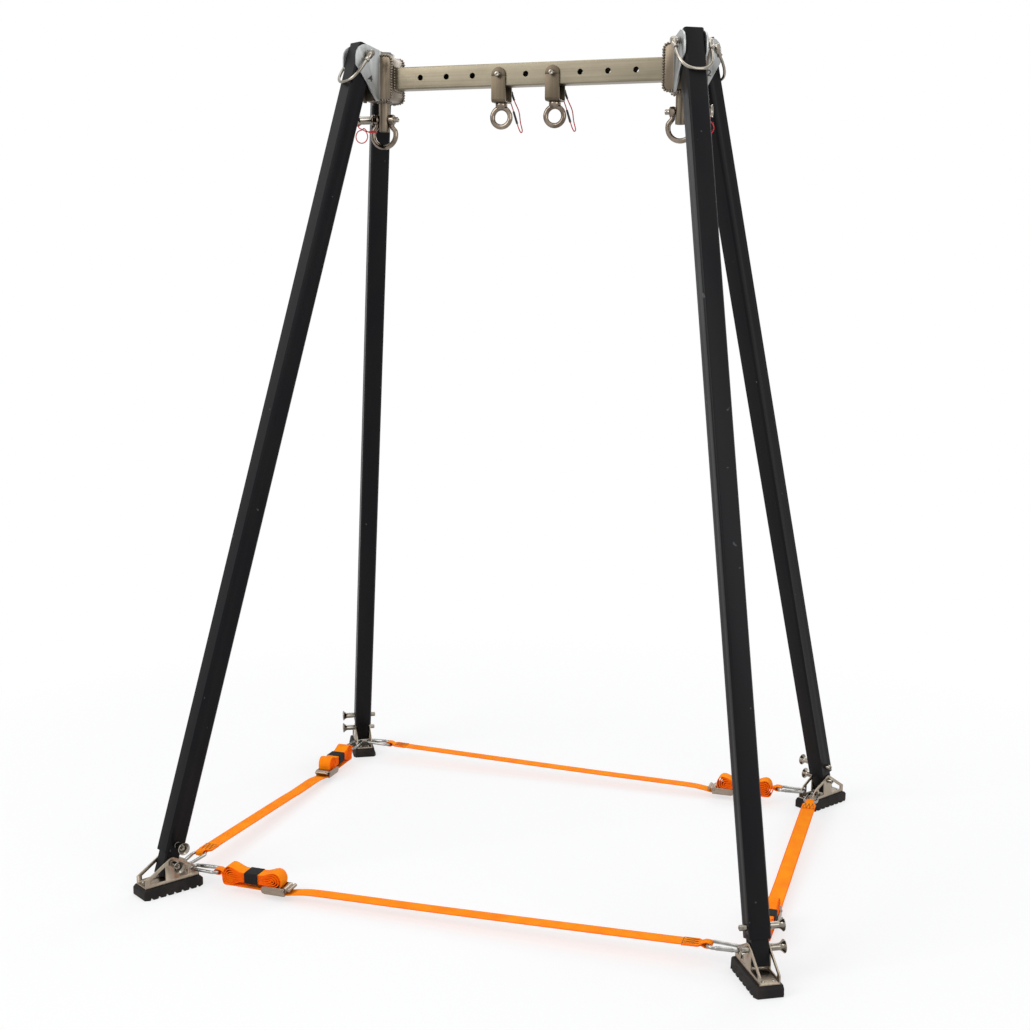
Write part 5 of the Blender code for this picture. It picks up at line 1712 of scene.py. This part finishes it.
    def build_sewn_end(self, shop: Workshop, body: str, ground: Matrix) -> None:
        """The doubled webbing at the far hook with its loop and zigzag stitches."""
        path = [p for p in self.run_path() if p.x > self.sewn_start()]
        doubled = Form().add(webbing(path, self.far_taper(), self.thick * 2.1), ground)
        doubled.add(self.hook_loop(), self.side.end())
        shop.piece(f"{self.side.key}_sewn_loop", doubled, Look.WEB, body)
        placed = [[ground @ p for p in line] for line in self.stitch_paths()]
        thread = Repeat("stitch", 0.0026, (0.0015, 0.0007, 0.00055), 0.08, rings=4)
        seam = thread.mesh(placed, shop.paint[Look.THREAD])
        shop.piece(f"{self.side.key}_stitches", seam, Look.THREAD, body)

    def share(self) -> float:
        """How much of a foot's outward way lies along this strap."""
        along = abs(math.cos(self.side.heading))
        return math.cos(SPLAY) if along > 0.5 else math.sin(SPLAY)

    def squash(self, piece: bpy.types.Object) -> None:
        """Give a piece of the run its own mesh, and reckon the share of its length that it would
        keep as the legs fold about one place along the strap; nothing is shortened.
        """
        shift = PIVOT_TO_FOOT * (math.sin(TILT) - math.sin(TILT - FOLD_INWARD))
        keep = 1 - 2 * shift * self.share() / (self.sewn_start() - self.run_at)
        start = self.side.start()
        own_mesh(piece)

    def tie_band(self) -> Form:
        """The elastic band round the hank's waist."""
        waist = [p.y for p in self.hank() if abs(p.x - self.hank_middle) < 0.004]
        low, high = min(waist) - 0.0014, max(waist) + 0.0014
        outside = [(-1.0, 0.1), (-0.97, 0.85), (-0.9, 1.0), (-0.45, 0.82), (0.0, 1.0)]
        outside += [(-share, lift) for share, lift in reversed(outside[:-1])]
        section = [(share, self.band_thick * lift) for share, lift in outside]
        section += [(share, -0.0003) for share, _ in reversed(outside)]
        loop = rounded_box(self.wide / 2 + 0.0012, low, high, 0.0030)
        form, around = Form(), 0.0
        for index, (y, z) in enumerate(loop):
            around += math.dist((y, z), loop[index - 1]) if index else 0.0
            out = Vector((y, z - (low + high) / 2)).normalized()
            for share, lift in section:
                spot = Vector((y, z)) + out * lift
                form.verts.append(Vector((self.hank_middle + share * self.band, spot.x, spot.y)))
                form.lay.append((around, share, 1.0))
        return form.skin(len(section), closed=True)

    def build_buckle(self, shop: Workshop, body: str, place: Matrix) -> None:
        """The buckle's frame and its sprung cam lever."""
        key, half, teeth = self.side.key, self.wide / 2, []
        node = f"{key}_buckle_frame"
        shop.piece(f"{key}_buckle", softened(node, 0.0006), Look.BUCKLE, body, node)
        for step in range(72):
            angle = 2 * math.pi * step / 72
            radius = self.cam if step % 2 or angle < math.pi else self.cam - 0.0003
            teeth.append((radius * math.cos(angle), radius * math.sin(angle)))
        form = plate(teeth, -half, half, Axis.Y)
        form.add(rod(0.0025, 0.0218, Axis.Y, 24, (0.0007, 0.0006)))
        arm = [(0.0, 0.0018), (self.lever, 0.0018), (self.lever, 0.0042), (0.0, 0.0042)]
        form.add(plate(arm, -half + 0.0004, half - 0.0004, Axis.Y, 0.0006))
        bar = rod(0.0040, half, Axis.Y, 32, (0.0008, 0.0008))
        form.add(bar, move(self.lever, 0.0, 0.003))
        lever = f"{key}_cam_lever"
        shop.piece(f"{key}_cam", form, Look.BUCKLE, f"{key}_cam", lever, place=place)


# Studio


@dataclass
class Studio:
    """The camera, the pale floor and the soft lights."""

    camera_at: Rgb = (1.0472, -3.2382, 1.3582)
    turn: Rgb = (80.89, -0.48, 18.36)
    lens: float = 51.04
    aim: Rgb = (0.0, 0.0, 0.9)
    floor_half: float = 14.0

    def build(self) -> None:
        """Make the studio."""
        scene = bpy.context.scene
        scene.view_settings.view_transform = "Standard"
        data = bpy.data.cameras.new("camera")
        data.sensor_width = 36.0
        data.lens = self.lens
        camera = linked("camera", data)
        camera.location = self.camera_at
        camera.rotation_euler = [math.radians(angle) for angle in self.turn]
        scene.camera = camera
        self.lamp("key", (-2.6, -3.4, 3.6), 2.6, 95)
        self.lamp("fill", (3.4, -2.6, 2.4), 2.4, 42)
        self.lamp("rim", (0.6, 3.6, 3.4), 2.4, 48)
        self.lamp("top", (0.0, 0.0, 4.2), 3.0, 40)
        self.world()
        self.floor()

    def lamp(self, name: str, spot: Rgb, size: float, watts: float) -> None:
        """Add a soft square lamp that faces the quadpod's middle."""
        data = bpy.data.lights.new(name, "AREA")
        data.size = size
        data.energy = watts
        lamp = linked(name, data)
        lamp.location = spot
        aim = Vector(self.aim) - Vector(spot)
        lamp.rotation_euler = aim.to_track_quat("-Z", "Y").to_euler()

    def world(self) -> None:
        """White where the camera, gloss and glass look, and a softer light elsewhere."""
        world = bpy.data.worlds.new("studio")
        bpy.context.scene.world = world
        world.use_nodes = True
        world.node_tree.nodes.clear()
        graph = Graph(world.node_tree)
        seen = graph.node("ShaderNodeBackground", {"Color": (1.0, 1.0, 1.0, 1.0)})
        soft = {"Color": (0.94, 0.96, 1.0, 1.0), "Strength": 0.52}
        light = graph.node("ShaderNodeBackground", soft)
        share = seen_ray(graph, "Camera", "Glossy", "Transmission")
        ends = {0: share, 1: light.outputs[0], 2: seen.outputs[0]}
        mix = graph.node("ShaderNodeMixShader", ends)
        graph.node("ShaderNodeOutputWorld", {0: mix.outputs[0]})

    def floor(self) -> None:
        """A pale floor that keeps the shadow and fades to white away from the feet."""
        mesh, size = bpy.data.meshes.new("floor"), self.floor_half
        corners = [(-size, -size, 0), (size, -size, 0), (size, size, 0), (-size, size, 0)]
        mesh.from_pydata(corners, [], [(0, 1, 2, 3)])
        floor = linked("floor", mesh)
        recipe = Recipe("pale floor")
        recipe.finish(Base_Color=(0.90, 0.90, 0.90, 1.0), Roughness=0.9)
        glow = recipe.node("ShaderNodeEmission", {"Color": (1.0, 1.0, 1.0, 1.0), "Strength": 1.0})
        x, y, _ = recipe.parts(recipe.place())
        far = (x * x + y * y).root().over(0.85, 1.3)
        share = (far * 0.38 + 0.62) * seen_ray(recipe, "Camera", "Glossy")
        ends = {0: share, 1: recipe.shader.outputs[0], 2: glow.outputs[0]}
        mix = recipe.node("ShaderNodeMixShader", ends)
        recipe.plug(recipe.tree.nodes["Material Output"].inputs["Surface"], mix.outputs[0])
        mesh.materials.append(recipe.material)
        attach(floor, FLOOR_BODY)


def seen_ray(graph: Graph, *kinds: str) -> Reading:
    """1 where the ray is of one of these kinds."""
    ray = graph.node("ShaderNodeLightPath").outputs
    share, *others = [graph.reading(ray[f"Is {kind} Ray"]) for kind in kinds]
    for other in others:
        share = share.most(other)
    return share


def main() -> None:
    """Build the whole scene in order."""
    logging.basicConfig(level=logging.INFO, format="%(name)s: %(message)s")
    Studio().build()
    shop = Workshop()
    Crossbar().build(shop)
    ends = (("left", -1), ("right", 1))
    for name, side in ends:
        Head(name, side).build(shop)
        Shackle(name, side).build(shop)
    for name, hole in ends:
        Hanger(name, hole).build(shop)
    for corner in Corner:
        Leg(corner).build(shop)
    for text, corner, side in (
        ("4", Corner.FRONT_LEFT, 1), ("1", Corner.FRONT_RIGHT, 1),
        ("2", Corner.BACK_RIGHT, -1), ("3", Corner.BACK_LEFT, -1),
    ):
        Number(text, corner, side).build(shop)
    for side in Side:
        Strap(side).build(shop)


if __name__ == "__main__":
    main()
